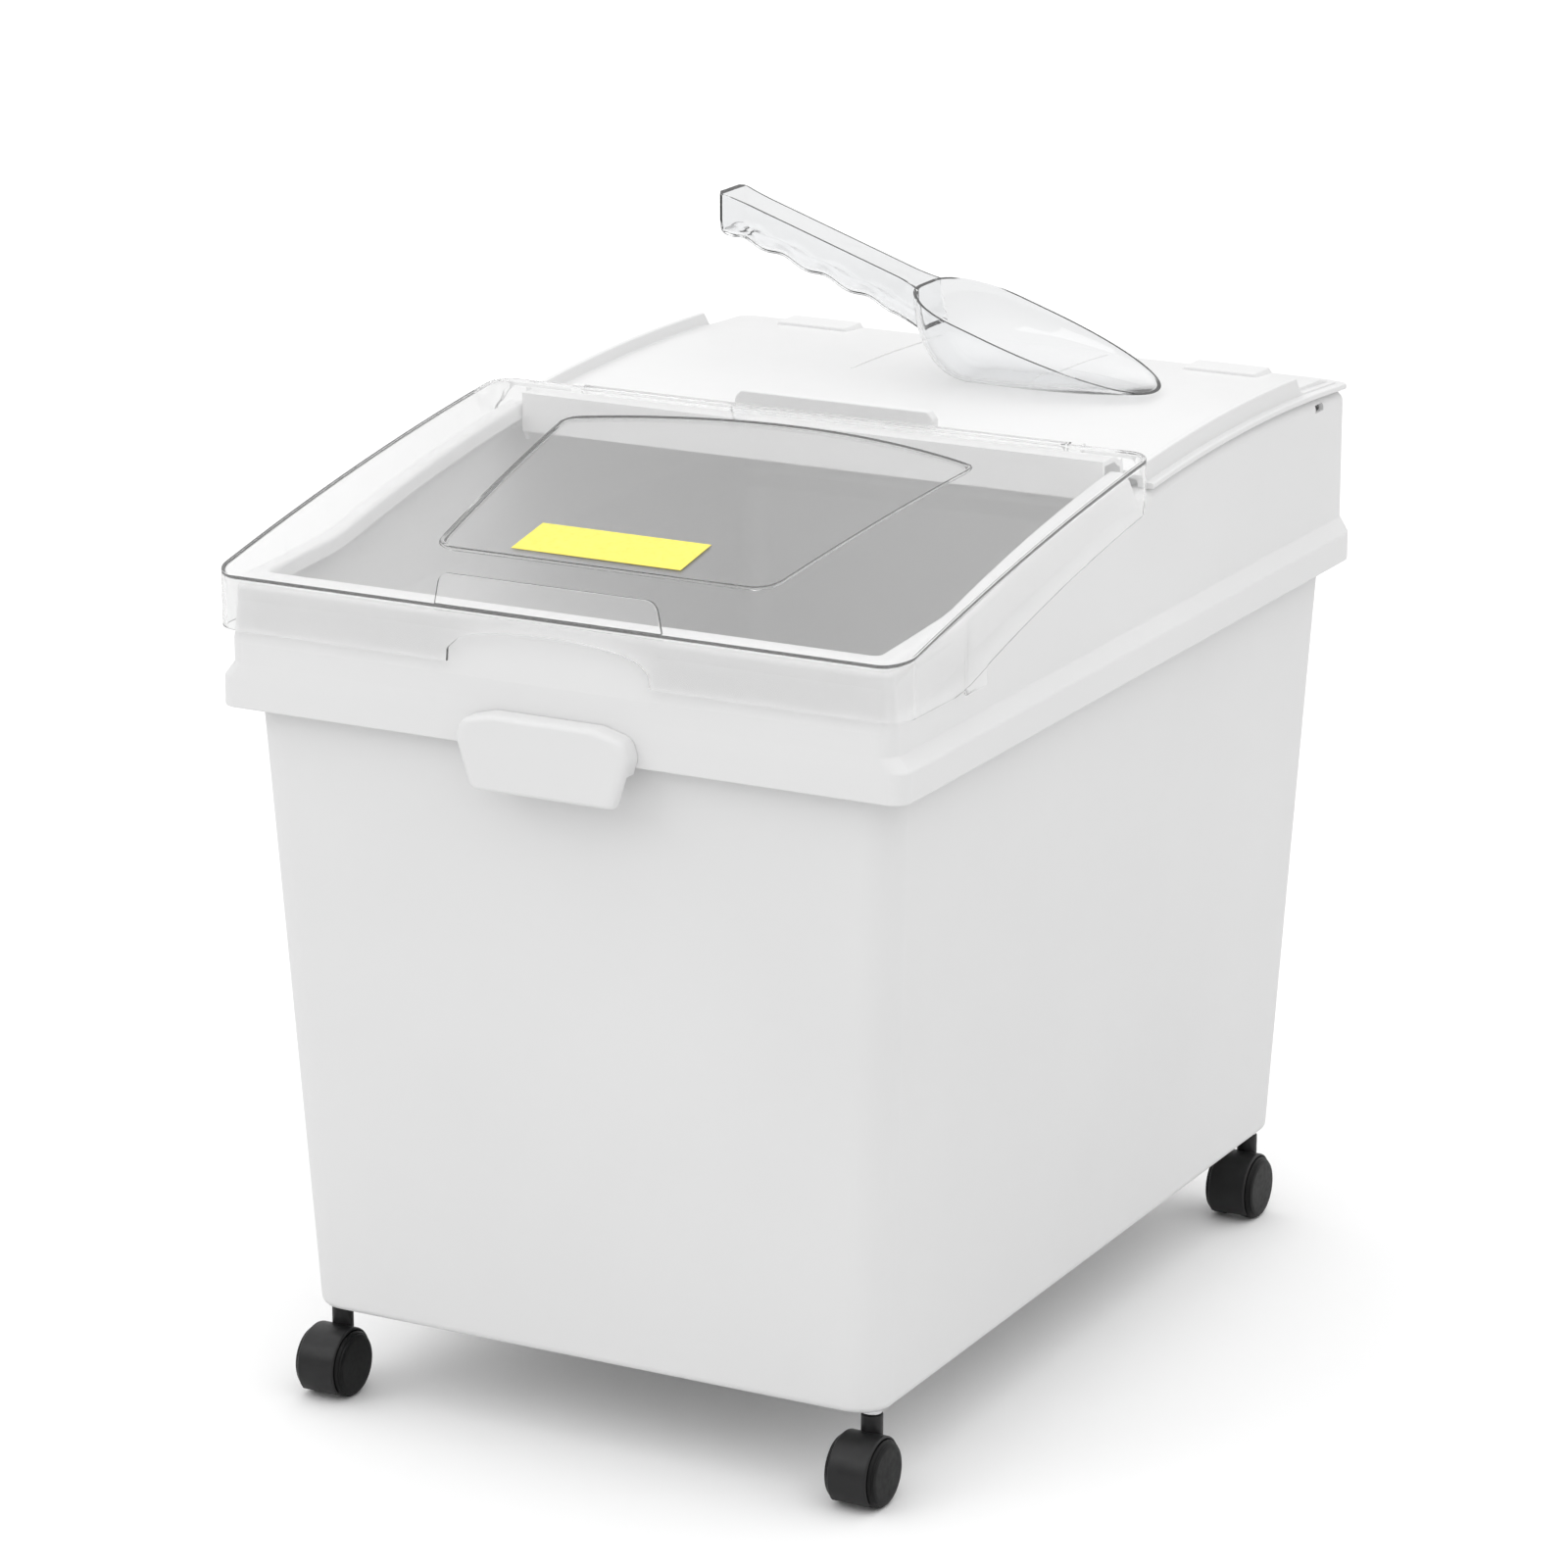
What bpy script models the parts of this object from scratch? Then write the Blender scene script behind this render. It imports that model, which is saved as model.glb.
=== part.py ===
"""Pet food bin on casters: a tapered tub with a curved hood, a fixed rear lid, a clear flip lid and a scoop.

Metres, +Z up, front facing -Y. The origin is on the floor, at the middle of the object's bounding box.
"""

import math

import bmesh
import bpy
from mathutils import Matrix, Vector

GAP = 0.0003  # between pieces that touch

# Tub, skirt and hood: one moulding
SKIRT_HALF = 0.210
FRONT_Y = -0.294
REAR_Y = 0.306
TUB_FLOOR_Z = 0.0525
TUB_FLOOR_HALF = 0.180
TUB_FLOOR_INSET = 0.031
SKIRT_BOTTOM_Z = 0.409
TUB_TOP_HALF = 0.197
TUB_TOP_INSET = 0.0125
WALL = 0.003
LEDGE_OUTER_Z = 0.426
LEDGE_INNER_Z = 0.4345
HOOD_HALF = 0.203
HOOD_REAR_Y = 0.3045
HOOD_CORNER = 0.009
SKIRT_FRONT_CORNER = 0.010
SKIRT_REAR_CORNER = 0.015
INNER_CORNER = 0.005
TUB_CORNER = 0.019

# The hood's rim follows one large arc, seen from the side
ARC_Y = 0.176
ARC_RADIUS = 1.650
SHOULDER_APEX_Z = 0.5165
RIM_RISE = 0.0147  # the rolled rim stands this far above the shoulder, in front of the rear lid
RIM_FRONT_Z = 0.4820
RIM_FRONT_SLOPE = 0.06
RIM_OPENING_HALF = 0.187
RIM_STEP_Y = (0.000, 0.006)  # where the rolled rim drops to the plain one under the rear lid

# Clear flip lid
LID_HALF = 0.211
LID_FRONT_Y = -0.2975
LID_REAR_Y = 0.010
LID_THICK = 0.0022
LID_ARC_Y = 0.281
LID_ARC_RADIUS = 2.700
LID_APEX_Z = 0.547
LID_FRONT_BOTTOM_Z = 0.454
LID_SKIRT_DROP = 0.0055
LID_SKIRT_TAPER = 0.028
LID_CORNER = 0.016
LID_REAR_CORNER = 0.014
HINGE_Y = 0.0185
HINGE_Z = 0.5285
BARREL_RADIUS = 0.0038
BARREL_HALF = 0.155
PIN_RADIUS = 0.0022
PIN_END = 0.1625
PANEL_X = -0.005
PANEL_FRONT_HALF = 0.102
PANEL_REAR_HALF = 0.1295
PANEL_Y = (-0.231, -0.0136)
PANEL_REAR_BOW = 1.64  # its rear edge is a parabola: this times x squared
PANEL_DEPTH = 0.0011
PULL_HALF = 0.066
PULL_TOP_Z = 0.5025

# White rear lid
STRIP_OUTER = 0.1995
STRIP_INNER = 0.1960
STRIP_Y = (0.032, 0.236)
STRIP_APEX_Z = 0.5315
PLATE_APEX_Z = 0.5240
PLATE_THICK = 0.0025
REAR_LID_FRONT_Y = 0.0235
REAR_LID_HALF = 0.2045
REAR_LID_REAR_Y = 0.306
REAR_LID_CORNER = 0.009
REAR_LID_Y = (0.032, 0.060, 0.110, 0.176, 0.215, 0.2350, 0.2380, 0.250)

# Casters
CASTER_X = 0.1690
CASTER_Y = (-0.2460, 0.2585)
WHEEL_RADIUS = 0.0190
TRAIL = 0.0105
WHEEL_INNER_X = 0.0052
WHEEL_OUTER_X = 0.0155
AXLE_RADIUS = 0.0022
HOOD_RADIUS = 0.0208
HOOD_CLEARANCE = 0.0197
NECK_RADIUS = 0.0061
NECK_TOP_Z = 0.0486
STEM_RADIUS = 0.0039
SOCKET_RADIUS = 0.0052
FLANGE_RADIUS = 0.0062
FLANGE_THICK = 0.0015
BOSS_RADIUS = 0.0090
BOSS_TOP_Z = 0.0850

# Scoop: its rim and its handle's top edges lie in one slanting plane
SCOOP_LENGTH = 0.150
SCOOP_HALF = 0.047
SCOOP_BACK_Z = 0.0540
SCOOP_TIP_Z = 0.0032
SCOOP_SLOPE = (SCOOP_BACK_Z - SCOOP_TIP_Z) / SCOOP_LENGTH
SCOOP_WALL = 0.0022
SCOOP_BOTTOM_RADIUS = 0.036
SCOOP_BACK_CORNER = 0.039
SCOOP_TIP_START = 0.062  # where the sides start to close in on the tip
SCOOP_PLACE = (-0.014, 0.176)
HANDLE_LENGTH = 0.132
HANDLE_HALF = 0.0140
HANDLE_DEPTH = 0.0235

CORNER_STEPS = 5
SIDE_Y = (-0.235, -0.205, -0.170, -0.130, -0.090, -0.050, RIM_STEP_Y[0], RIM_STEP_Y[1],
          0.060, 0.110, 0.176, 0.230, 0.250)

WHITE = (0.83, 0.84, 0.85)
CLEAR = (0.90, 0.93, 0.95)
YELLOW = (0.98, 0.86, 0.09)
BLACK = (0.02, 0.02, 0.022)
STEEL = (0.75, 0.75, 0.76)


# Materials and objects

def material(name, colour, roughness, metallic=0.0, alpha=1.0):
    made = bpy.data.materials.new(name)
    made.use_nodes = True
    shader = made.node_tree.nodes["Principled BSDF"]
    shader.inputs["Base Color"].default_value = (*colour, 1.0)
    shader.inputs["Roughness"].default_value = roughness
    shader.inputs["Metallic"].default_value = metallic
    shader.inputs["Alpha"].default_value = alpha
    return made


def add_object(name, mesh, finish, origin=(0, 0, 0), parent=None):
    """An object whose mesh is in world coordinates, moved so that its origin is at `origin`."""
    mesh.transform(Matrix.Translation(-Vector(origin)))
    mesh.materials.append(finish)
    obj = bpy.data.objects.new(name, mesh)
    bpy.context.scene.collection.objects.link(obj)
    obj.location = origin
    if parent:
        obj.parent = parent
        obj.location = Vector(origin) - parent.location
    return obj


def add_pivot(name, location):
    pivot = bpy.data.objects.new(name, None)
    pivot.location = location
    pivot.empty_display_size = 0.02
    bpy.context.scene.collection.objects.link(pivot)
    return pivot


def mesh_of(name, points, faces, smooth=True):
    mesh = bpy.data.meshes.new(name)
    shape = bmesh.new()
    verts = [shape.verts.new(p) for p in points]
    for face in faces:
        shape.faces.new([verts[i] for i in face])
    bmesh.ops.recalc_face_normals(shape, faces=shape.faces)
    shape.to_mesh(mesh)
    shape.free()
    if smooth:
        mesh.shade_smooth()
        mesh.set_sharp_from_angle(angle=math.radians(35))
    return mesh


def combine(name, base, others, operation):
    """The base mesh joined with, or cut by, each of the others in turn."""
    work = bpy.data.objects.new(name + "_work", base)
    bpy.context.scene.collection.objects.link(work)
    helpers = []
    for other in others:
        helper = bpy.data.objects.new(name + "_helper", other)
        bpy.context.scene.collection.objects.link(helper)
        helpers.append(helper)
        boolean = work.modifiers.new("combine", "BOOLEAN")
        boolean.operation = operation
        boolean.object = helper
    graph = bpy.context.evaluated_depsgraph_get()
    mesh = bpy.data.meshes.new_from_object(work.evaluated_get(graph))
    for obj in [work, *helpers]:
        bpy.data.objects.remove(obj)
    mesh.name = name
    mesh.materials.clear()
    mesh.shade_smooth()
    mesh.set_sharp_from_angle(angle=math.radians(35))
    return mesh


# Shapes

def arc_z(y, apex):
    """Height at y on the hood's side arc whose highest point is at apex."""
    return apex - ARC_RADIUS + math.sqrt(ARC_RADIUS ** 2 - (y - ARC_Y) ** 2)


def lid_top_z(y):
    return LID_APEX_Z - LID_ARC_RADIUS + math.sqrt(LID_ARC_RADIUS ** 2 - (y - LID_ARC_Y) ** 2)


def rim_share(y):
    """1 where the rolled rim stands at its full height, 0 under the rear lid."""
    start, end = RIM_STEP_Y
    return min(1.0, max(0.0, (end - y) / (end - start)))


def shoulder_z(y):
    return arc_z(y, SHOULDER_APEX_Z) - 0.003 * (1 - rim_share(y))


def rim_top_z(y):
    rolled = max(arc_z(y, SHOULDER_APEX_Z + RIM_RISE), RIM_FRONT_Z + RIM_FRONT_SLOPE * (y - FRONT_Y))
    plain = arc_z(y, SHOULDER_APEX_Z)
    return plain + (rolled - plain) * rim_share(y)


def rounded_ring(half, front, rear, radius, height, rear_radius=None):
    """Points round a rectangle with round corners, mirrored left to right. height is a number or a function of y."""
    rear_radius = radius if rear_radius is None else rear_radius
    right = []
    for centre_y, corner, start in ((front + radius, radius, -90), (rear - rear_radius, rear_radius, 0)):
        if start == 0:
            right += [(half, y) for y in SIDE_Y if front + radius < y < rear - rear_radius]
        steps = CORNER_STEPS if corner > 0 else 0
        for step in range(steps + 1):
            angle = math.radians(start + 90 * step / max(steps, 1))
            right.append((half - corner + corner * math.cos(angle), centre_y + corner * math.sin(angle)))
    outline = right + [(-x, y) for x, y in reversed(right)]
    return [(x, y, height(y) if callable(height) else height) for x, y in outline]


def loft_faces(rings, count):
    faces = []
    for ring in range(rings - 1):
        for i in range(count):
            j = (i + 1) % count
            low = ring * count
            faces.append((low + i, low + j, low + count + j, low + count + i))
    return faces


def curved_cap(first, count):
    """Strips from side to side that close a ring whose height changes along y."""
    half = count // 2
    return [(first + i, first + i + 1, first + count - 2 - i, first + count - 1 - i) for i in range(half - 1)]


def loft(name, rings, curved=False):
    count = len(rings[0])
    last = (len(rings) - 1) * count
    faces = loft_faces(len(rings), count)
    if curved:
        faces += curved_cap(0, count) + curved_cap(last, count)
    else:
        faces += [tuple(range(count)), tuple(range(last, last + count))]
    return mesh_of(name, [p for ring in rings for p in ring], faces)


def open_loft(name, rings):
    """A shell from rings whose ends lie in one plane: it closes the top, the underside and that plane."""
    count = len(rings[0])
    faces = []
    for ring in range(len(rings) - 1):
        low = ring * count
        faces += [(low + i, low + i + 1, low + count + i + 1, low + count + i) for i in range(count - 1)]
    faces += curved_cap(0, count) + curved_cap((len(rings) - 1) * count, count)
    ends = [ring * count for ring in range(len(rings))]
    faces.append(tuple(ends + [end + count - 1 for end in reversed(ends)]))
    return mesh_of(name, [p for ring in rings for p in ring], faces)


def extrude_x(name, outline, x_from, x_to):
    """A prism along X from an outline of (y, z) points."""
    count = len(outline)
    points = [(x, y, z) for x in (x_from, x_to) for y, z in outline]
    faces = loft_faces(2, count) + [tuple(range(count)), tuple(range(count, 2 * count))]
    return mesh_of(name, points, faces)


def extrude_y(name, outline, y_from, y_to):
    """A prism along Y from an outline of (x, z) points."""
    count = len(outline)
    points = [(x, y, z) for y in (y_from, y_to) for x, z in outline]
    faces = loft_faces(2, count) + [tuple(range(count)), tuple(range(count, 2 * count))]
    return mesh_of(name, points, faces)


def box(name, low, high):
    (x0, y0, z0), (x1, y1, z1) = low, high
    return extrude_x(name, [(y0, z0), (y1, z0), (y1, z1), (y0, z1)], x0, x1)


def turned(name, profile, centre, axis, steps=24):
    """A solid turned round X or Z through centre, from (radius, along) points; radius 0 ends on the axis."""
    points = []
    rings = []
    for radius, along in profile:
        ring = []
        for step in range(steps if radius > 0 else 1):
            angle = 2 * math.pi * step / steps
            a, b = radius * math.cos(angle), radius * math.sin(angle)
            offset = (along, a, b) if axis == "X" else (a, b, along)
            ring.append(len(points))
            points.append(tuple(c + o for c, o in zip(centre, offset)))
        rings.append(ring)
    closed_profile = profile[0][0] > 0
    pairs = list(zip(rings, rings[1:])) + ([(rings[-1], rings[0])] if closed_profile else [])
    faces = []
    for low, high in pairs:
        for i in range(steps):
            j = (i + 1) % steps
            corner = [low[i % len(low)], low[j % len(low)], high[j % len(high)], high[i % len(high)]]
            faces.append(tuple(dict.fromkeys(corner)))
    return mesh_of(name, points, faces)


def rod(name, centre, axis, radius, start, end, steps=24):
    return turned(name, [(0, start), (radius, start), (radius, end), (0, end)], centre, axis, steps)


# Bin body

def tub_ring(share, inside, height):
    """A ring on the tub's wall: share 0 at its floor, 1 at the skirt."""
    half = TUB_FLOOR_HALF + (TUB_TOP_HALF - TUB_FLOOR_HALF) * share - inside
    inset = TUB_FLOOR_INSET + (TUB_TOP_INSET - TUB_FLOOR_INSET) * share + inside
    corner = max(TUB_CORNER - inside, 0.002)
    return rounded_ring(half, FRONT_Y + inset, REAR_Y - inset, corner, height)


def hood_ring(inside, height):
    corner = max(HOOD_CORNER - inside, INNER_CORNER)
    return rounded_ring(HOOD_HALF - inside, FRONT_Y + inside, HOOD_REAR_Y - inside, corner, height)


def skirt_ring(inside, height, end_inside=None):
    """A ring on the skirt. end_inside is how far its front and rear are drawn in, when that isn't `inside`."""
    end = inside if end_inside is None else end_inside
    corners = SKIRT_FRONT_CORNER - inside, SKIRT_REAR_CORNER - inside
    return rounded_ring(SKIRT_HALF - inside, FRONT_Y + end, REAR_Y - end, corners[0], height, corners[1])


def bin_rings():
    """Rings from the inside floor up over the rolled rim and down the outside to the underside."""
    roll = HOOD_HALF - RIM_OPENING_HALF
    rings = [tub_ring(0.0, WALL + 0.004, TUB_FLOOR_Z + WALL)]
    rings.append(tub_ring(0.0, WALL, TUB_FLOOR_Z + WALL + 0.004))
    rings.append(tub_ring(1.0, WALL, SKIRT_BOTTOM_Z))
    rings.append(hood_ring(WALL, LEDGE_INNER_Z))
    rings.append(hood_ring(WALL, lambda y: shoulder_z(y) - 0.003))
    rings.append(hood_ring(0.0055, lambda y: rim_top_z(y) - 0.0045))
    rings.append(hood_ring(roll - WALL, lambda y: rim_top_z(y) - 0.003))
    rings.append(hood_ring(roll - WALL, lambda y: rim_top_z(y) - 0.010))
    rings.append(hood_ring(roll, lambda y: rim_top_z(y) - 0.010))
    rings.append(hood_ring(roll, lambda y: rim_top_z(y) - 0.0022))
    rings.append(hood_ring(roll - 0.002, rim_top_z))
    rings.append(hood_ring(0.0085, rim_top_z))
    rings.append(hood_ring(0.003, lambda y: 0.65 * rim_top_z(y) + 0.35 * shoulder_z(y)))
    rings.append(hood_ring(0.0, shoulder_z))
    rings.append(hood_ring(0.0, LEDGE_INNER_Z + 0.001))
    rings.append(skirt_ring(0.002, LEDGE_OUTER_Z + 0.001, 0.0))
    rings.append(skirt_ring(0.0, LEDGE_OUTER_Z - 0.003))
    rings.append(skirt_ring(0.0, SKIRT_BOTTOM_Z + 0.002))
    rings.append(skirt_ring(0.0015, SKIRT_BOTTOM_Z))
    rings.append(skirt_ring(WALL, SKIRT_BOTTOM_Z))
    rings.append(skirt_ring(WALL, LEDGE_OUTER_Z - 0.003))
    rings.append(tub_ring(1.045, -GAP, LEDGE_OUTER_Z - 0.003))
    rings.append(tub_ring(1.0, 0.0, SKIRT_BOTTOM_Z))
    rings.append(tub_ring(0.0, 0.0, TUB_FLOOR_Z + 0.004))
    rings.append(tub_ring(0.0, 0.004, TUB_FLOOR_Z))
    return rings


def bin_body():
    """The tub, its skirt and hood, with a boss and a bore for each caster's socket."""
    body = loft("bin", bin_rings())
    bosses = []
    bores = []
    for x, y in caster_places():
        bosses.append(rod("boss", (x, y, 0), "Z", BOSS_RADIUS, TUB_FLOOR_Z + 0.001, BOSS_TOP_Z))
        bores.append(rod("bore", (x, y, 0), "Z", SOCKET_RADIUS + GAP, TUB_FLOOR_Z - 0.01, BOSS_TOP_Z - 0.003))
        seat_z = TUB_FLOOR_Z + FLANGE_THICK + GAP
        bores.append(rod("flange_seat", (x, y, 0), "Z", FLANGE_RADIUS + GAP, TUB_FLOOR_Z - 0.01, seat_z))
    body = combine("bin_bossed", body, bosses, "UNION")
    return combine("bin_body", body, bores + latch_windows(), "DIFFERENCE")


def latch_windows():
    """Windows high on the hood's sides near the rear, and the slots in the rim above them for the rear lid's tabs."""
    cuts = []
    for side in (-1, 1):
        low_x, high_x = sorted((side * (HOOD_HALF - 0.006), side * (HOOD_HALF + 0.006)))
        cuts.append(box("window", (low_x, 0.2565, 0.5055), (high_x, 0.2680, 0.5100)))
        low_x, high_x = sorted((side * 0.1850, side * 0.1968))
        cuts.append(box("slot", (low_x, 0.2565, 0.4950), (high_x, 0.2675, 0.5250)))
    return cuts


def front_grip():
    """The pull on the front of the skirt. Its lower lip hangs free, so that fingers go behind it."""
    outline = [(-0.0430, 0.3870), (0.0430, 0.3870), (0.0470, 0.3895), (0.0535, 0.4120), (0.0530, 0.4190),
               (0.0490, 0.4255), (0.0410, 0.4295), (-0.0410, 0.4295), (-0.0490, 0.4255), (-0.0530, 0.4190),
               (-0.0535, 0.4120), (-0.0470, 0.3895)]
    inner = [(x * 0.93, 0.4085 + (z - 0.4085) * 0.90) for x, z in outline]
    back_y = FRONT_Y - GAP
    front_y = FRONT_Y - 0.012
    rings = [[(x, back_y, z) for x, z in outline], [(x, front_y + 0.003, z) for x, z in outline],
             [(x, front_y, z) for x, z in inner]]
    slab = loft("grip", rings)
    hollow = box("grip_hollow", (-0.060, FRONT_Y - 0.0075, 0.380), (0.060, FRONT_Y + 0.01, SKIRT_BOTTOM_Z - 0.001))
    return combine("front_grip", slab, [hollow], "DIFFERENCE")


# Rear lid

def rear_lid_ring(half, rear, height, corner):
    """An open ring: front left, round the rear, to front right."""
    right = [(half, REAR_LID_FRONT_Y)] + [(half, y) for y in REAR_LID_Y]
    for step in range(CORNER_STEPS + 1):
        angle = math.radians(90 * step / CORNER_STEPS)
        right.append((half - corner + corner * math.cos(angle), rear - corner + corner * math.sin(angle)))
    outline = right + [(-x, y) for x, y in reversed(right)]
    return [(x, y, height(y)) for x, y in outline]


def lid_edge_z(y):
    """The top of the rear lid's edge, outside its raised strips."""
    return arc_z(y, SHOULDER_APEX_Z + 0.0035)


def plate_z(y):
    return arc_z(y, PLATE_APEX_Z)


def strip_z(y):
    start, end = STRIP_Y
    return arc_z(y, STRIP_APEX_Z) if start - 0.01 <= y <= end else lid_edge_z(y) + 0.0012


def seat_z(y):
    """The rear lid's underside, which rests on the hood's rim."""
    return arc_z(y, SHOULDER_APEX_Z) + GAP


def rear_lid():
    """Curved plate with raised side strips, rear lugs, a hinge seat and ears, and snap tabs."""
    half, rear, corner = REAR_LID_HALF, REAR_LID_REAR_Y, REAR_LID_CORNER
    rings = [rear_lid_ring(0.1925, 0.2945, lambda y: plate_z(y) - PLATE_THICK, 0.008)]
    rings.append(rear_lid_ring(0.1935, 0.2955, seat_z, 0.008))
    rings.append(rear_lid_ring(half, rear, seat_z, corner))
    rings.append(rear_lid_ring(half, rear, lambda y: lid_edge_z(y) - 0.001, corner))
    rings.append(rear_lid_ring(half - 0.001, rear - 0.001, lid_edge_z, corner))
    rings.append(rear_lid_ring(STRIP_OUTER, 0.3010, lid_edge_z, corner))
    rings.append(rear_lid_ring(STRIP_OUTER, 0.3010, strip_z, corner))
    rings.append(rear_lid_ring(STRIP_INNER, 0.2975, strip_z, corner))
    rings.append(rear_lid_ring(STRIP_INNER, 0.2860, lambda y: plate_z(y) - 0.0002, corner))
    lid = open_loft("rear_lid_shell", rings)
    return combine("rear_lid", lid, rear_lid_additions(), "UNION")


def rear_lid_additions():
    front = REAR_LID_FRONT_Y
    top = arc_z(front, PLATE_APEX_Z)
    seat = BARREL_RADIUS + 0.0006
    hollow = [(HINGE_Y + seat * math.cos(math.radians(a)), HINGE_Z + seat * math.sin(math.radians(a)))
              for a in range(-45, -166, -20)]
    lip_z = hollow[-1][1]
    beam = [(front + 0.002, top - 0.0003), (front, top - 0.0003), *hollow, (-0.004, lip_z), (-0.004, 0.5050),
            (-0.0015, 0.5050), (-0.0015, 0.5245), (0.0110, 0.5245), (0.0148, 0.5221), (0.0185, 0.5205),
            (0.0195, 0.5130), (front + 0.002, 0.5130)]
    added = [extrude_x("beam", beam, -0.1860, 0.1860)]
    added.append(box("stop", (-0.064, 0.0295, 0.5160), (0.064, 0.0370, 0.5375)))
    for side in (-1, 1):
        lug = [(-0.0260, 0.5190), (0.0260, 0.5190), (0.0230, 0.5235), (-0.0230, 0.5235)]
        added.append(extrude_y("lug", [(x + side * 0.137, z) for x, z in lug], 0.2640, 0.2860))
        tab_inner = sorted((side * 0.1915, side * 0.1960))
        added.append(box("tab_leg", (tab_inner[0], 0.2575, 0.5050), (tab_inner[1], 0.2665, 0.5185)))
        added.append(hinge_ear(side))
    return added


def hinge_ear(side):
    """An ear that holds the flip lid's pin, with the pin's hole open to the rear lid's outer side."""
    x_near, x_far = side * (BARREL_HALF + 0.0012), side * (PIN_END + 0.0012)
    outer, inner = PIN_RADIUS + 0.0018, PIN_RADIUS + GAP
    steps = 10
    outline = []
    for step in range(steps + 1):
        angle = math.radians(200 - 220 * step / steps)
        outline.append((HINGE_Y + outer * math.cos(angle), HINGE_Z + outer * math.sin(angle)))
    outline += [(HINGE_Y + outer, 0.5205), (HINGE_Y - outer, 0.5205)]
    ear = extrude_x("ear", outline, min(x_near, x_far), max(x_near, x_far))
    hole = rod("hole", (0, HINGE_Y, HINGE_Z), "X", inner, min(x_near, x_far) - 0.002, max(x_near, x_far) + 0.002)
    return combine("ear", ear, [hole], "DIFFERENCE")


# Clear flip lid

def lid_skirt_z(y):
    shoulder = arc_z(y, SHOULDER_APEX_Z) - LID_SKIRT_DROP - LID_SKIRT_TAPER * max(0.0, 0.006 - y)
    return max(LID_FRONT_BOTTOM_Z, shoulder)


def cover_ring(inside, height):
    """A closed ring on the clear lid's edge: round front corners, then tighter round rear corners."""
    half, front, rear = LID_HALF - inside, LID_FRONT_Y + inside, LID_REAR_Y - inside
    return rounded_ring(half, front, rear, LID_CORNER - inside, height, LID_REAR_CORNER - inside)


def cover_skirt_z(y):
    """The skirt's lower edge, which rises round the rear corners to clear the hood's rim."""
    rise = min(1.0, max(0.0, (y + 0.002) / 0.008))
    return lid_skirt_z(y) * (1 - rise) + 0.5180 * rise


def lid_shell():
    """The curved top with its turned-down edge, which is cut away along the hinge."""
    rings = [cover_ring(LID_THICK + 0.002, lambda y: lid_top_z(y) - LID_THICK)]
    rings.append(cover_ring(LID_THICK, lambda y: lid_top_z(y) - LID_THICK - 0.002))
    rings.append(cover_ring(LID_THICK, cover_skirt_z))
    rings.append(cover_ring(0.0, cover_skirt_z))
    rings.append(cover_ring(0.0, lambda y: lid_top_z(y) - 0.003))
    rings.append(cover_ring(0.0008, lambda y: lid_top_z(y) - 0.0008))
    rings.append(cover_ring(0.003, lid_top_z))
    shell = loft("lid_shell", rings, curved=True)
    edge = LID_HALF - LID_REAR_CORNER
    top = lid_top_z(LID_REAR_Y) - LID_THICK - 0.0002
    side = box("hinge_side", (-edge, LID_REAR_Y - LID_THICK - 0.0015, 0.5000), (edge, LID_REAR_Y + 0.001, top))
    return combine("lid_shell", shell, [side], "DIFFERENCE")


def pull_outline():
    """The finger pull's front view: straight sides that lean in, and round top corners."""
    base_z = lid_top_z(LID_FRONT_Y) - 0.002
    radius = 0.008
    right = [(PULL_HALF + 0.004, base_z)]
    for step in range(CORNER_STEPS + 1):
        angle = math.radians(90 * step / CORNER_STEPS)
        right.append((PULL_HALF - radius + radius * math.cos(angle), PULL_TOP_Z - radius + radius * math.sin(angle)))
    return right + [(-x, z) for x, z in reversed(right)]


def arch_outline():
    """The arched cut-out in the front skirt."""
    low, high, half = LID_FRONT_BOTTOM_Z - 0.005, 0.4745, 0.0605
    points = [(half, low), (half, 0.4600)]
    for step in range(1, 8):
        share = step / 8
        points.append((half * (1 - 2 * share), 0.4625 + (high - 0.4625) * math.sin(math.pi * share) ** 0.7))
    return points + [(-half, 0.4600), (-half, low)]


def clear_lid():
    """The flip lid with its hinge barrel and pins, finger pull, side clips, arch and sunk panel."""
    axis = (0, HINGE_Y, HINGE_Z)
    pull = extrude_y("pull", pull_outline(), LID_FRONT_Y + 0.0006, LID_FRONT_Y + 0.0028)
    half_profile = [(0, PIN_END), (PIN_RADIUS, PIN_END), (PIN_RADIUS, BARREL_HALF), (BARREL_RADIUS, BARREL_HALF)]
    profile = [(radius, -along) for radius, along in half_profile] + list(reversed(half_profile))
    barrel = turned("barrel", profile, axis, "X", 16)
    start = LID_REAR_Y - 0.001
    top = lid_top_z(start)
    neck = [(start, top - 0.0002), (start, top - LID_THICK + 0.0002), (HINGE_Y - 0.0030, HINGE_Z),
            (HINGE_Y, HINGE_Z), (HINGE_Y, HINGE_Z + BARREL_RADIUS - 0.0002)]
    base = loft("panel_base", [panel_ring(-LID_THICK - 0.0009, 0.002), panel_ring(-LID_THICK + 0.0004, 0.002)],
                curved=True)
    added = [pull, barrel, extrude_x("neck", neck, 0.001 - BARREL_HALF, BARREL_HALF - 0.001), base]
    for side in (-1, 1):
        low_x, high_x = sorted((side * (LID_HALF - 0.0015), side * (LID_HALF + 0.0008)))
        added.append(box("clip", (low_x, -0.223, 0.4525), (high_x, -0.198, 0.4780)))
    lid = combine("lid_added", lid_shell(), added, "UNION")
    arch = extrude_y("arch", arch_outline(), LID_FRONT_Y - 0.005, LID_FRONT_Y + 0.006)
    panel = loft("panel", [panel_ring(-PANEL_DEPTH), panel_ring(0.01)], curved=True)
    return combine("clear_lid", lid, [arch, panel], "DIFFERENCE")


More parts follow.
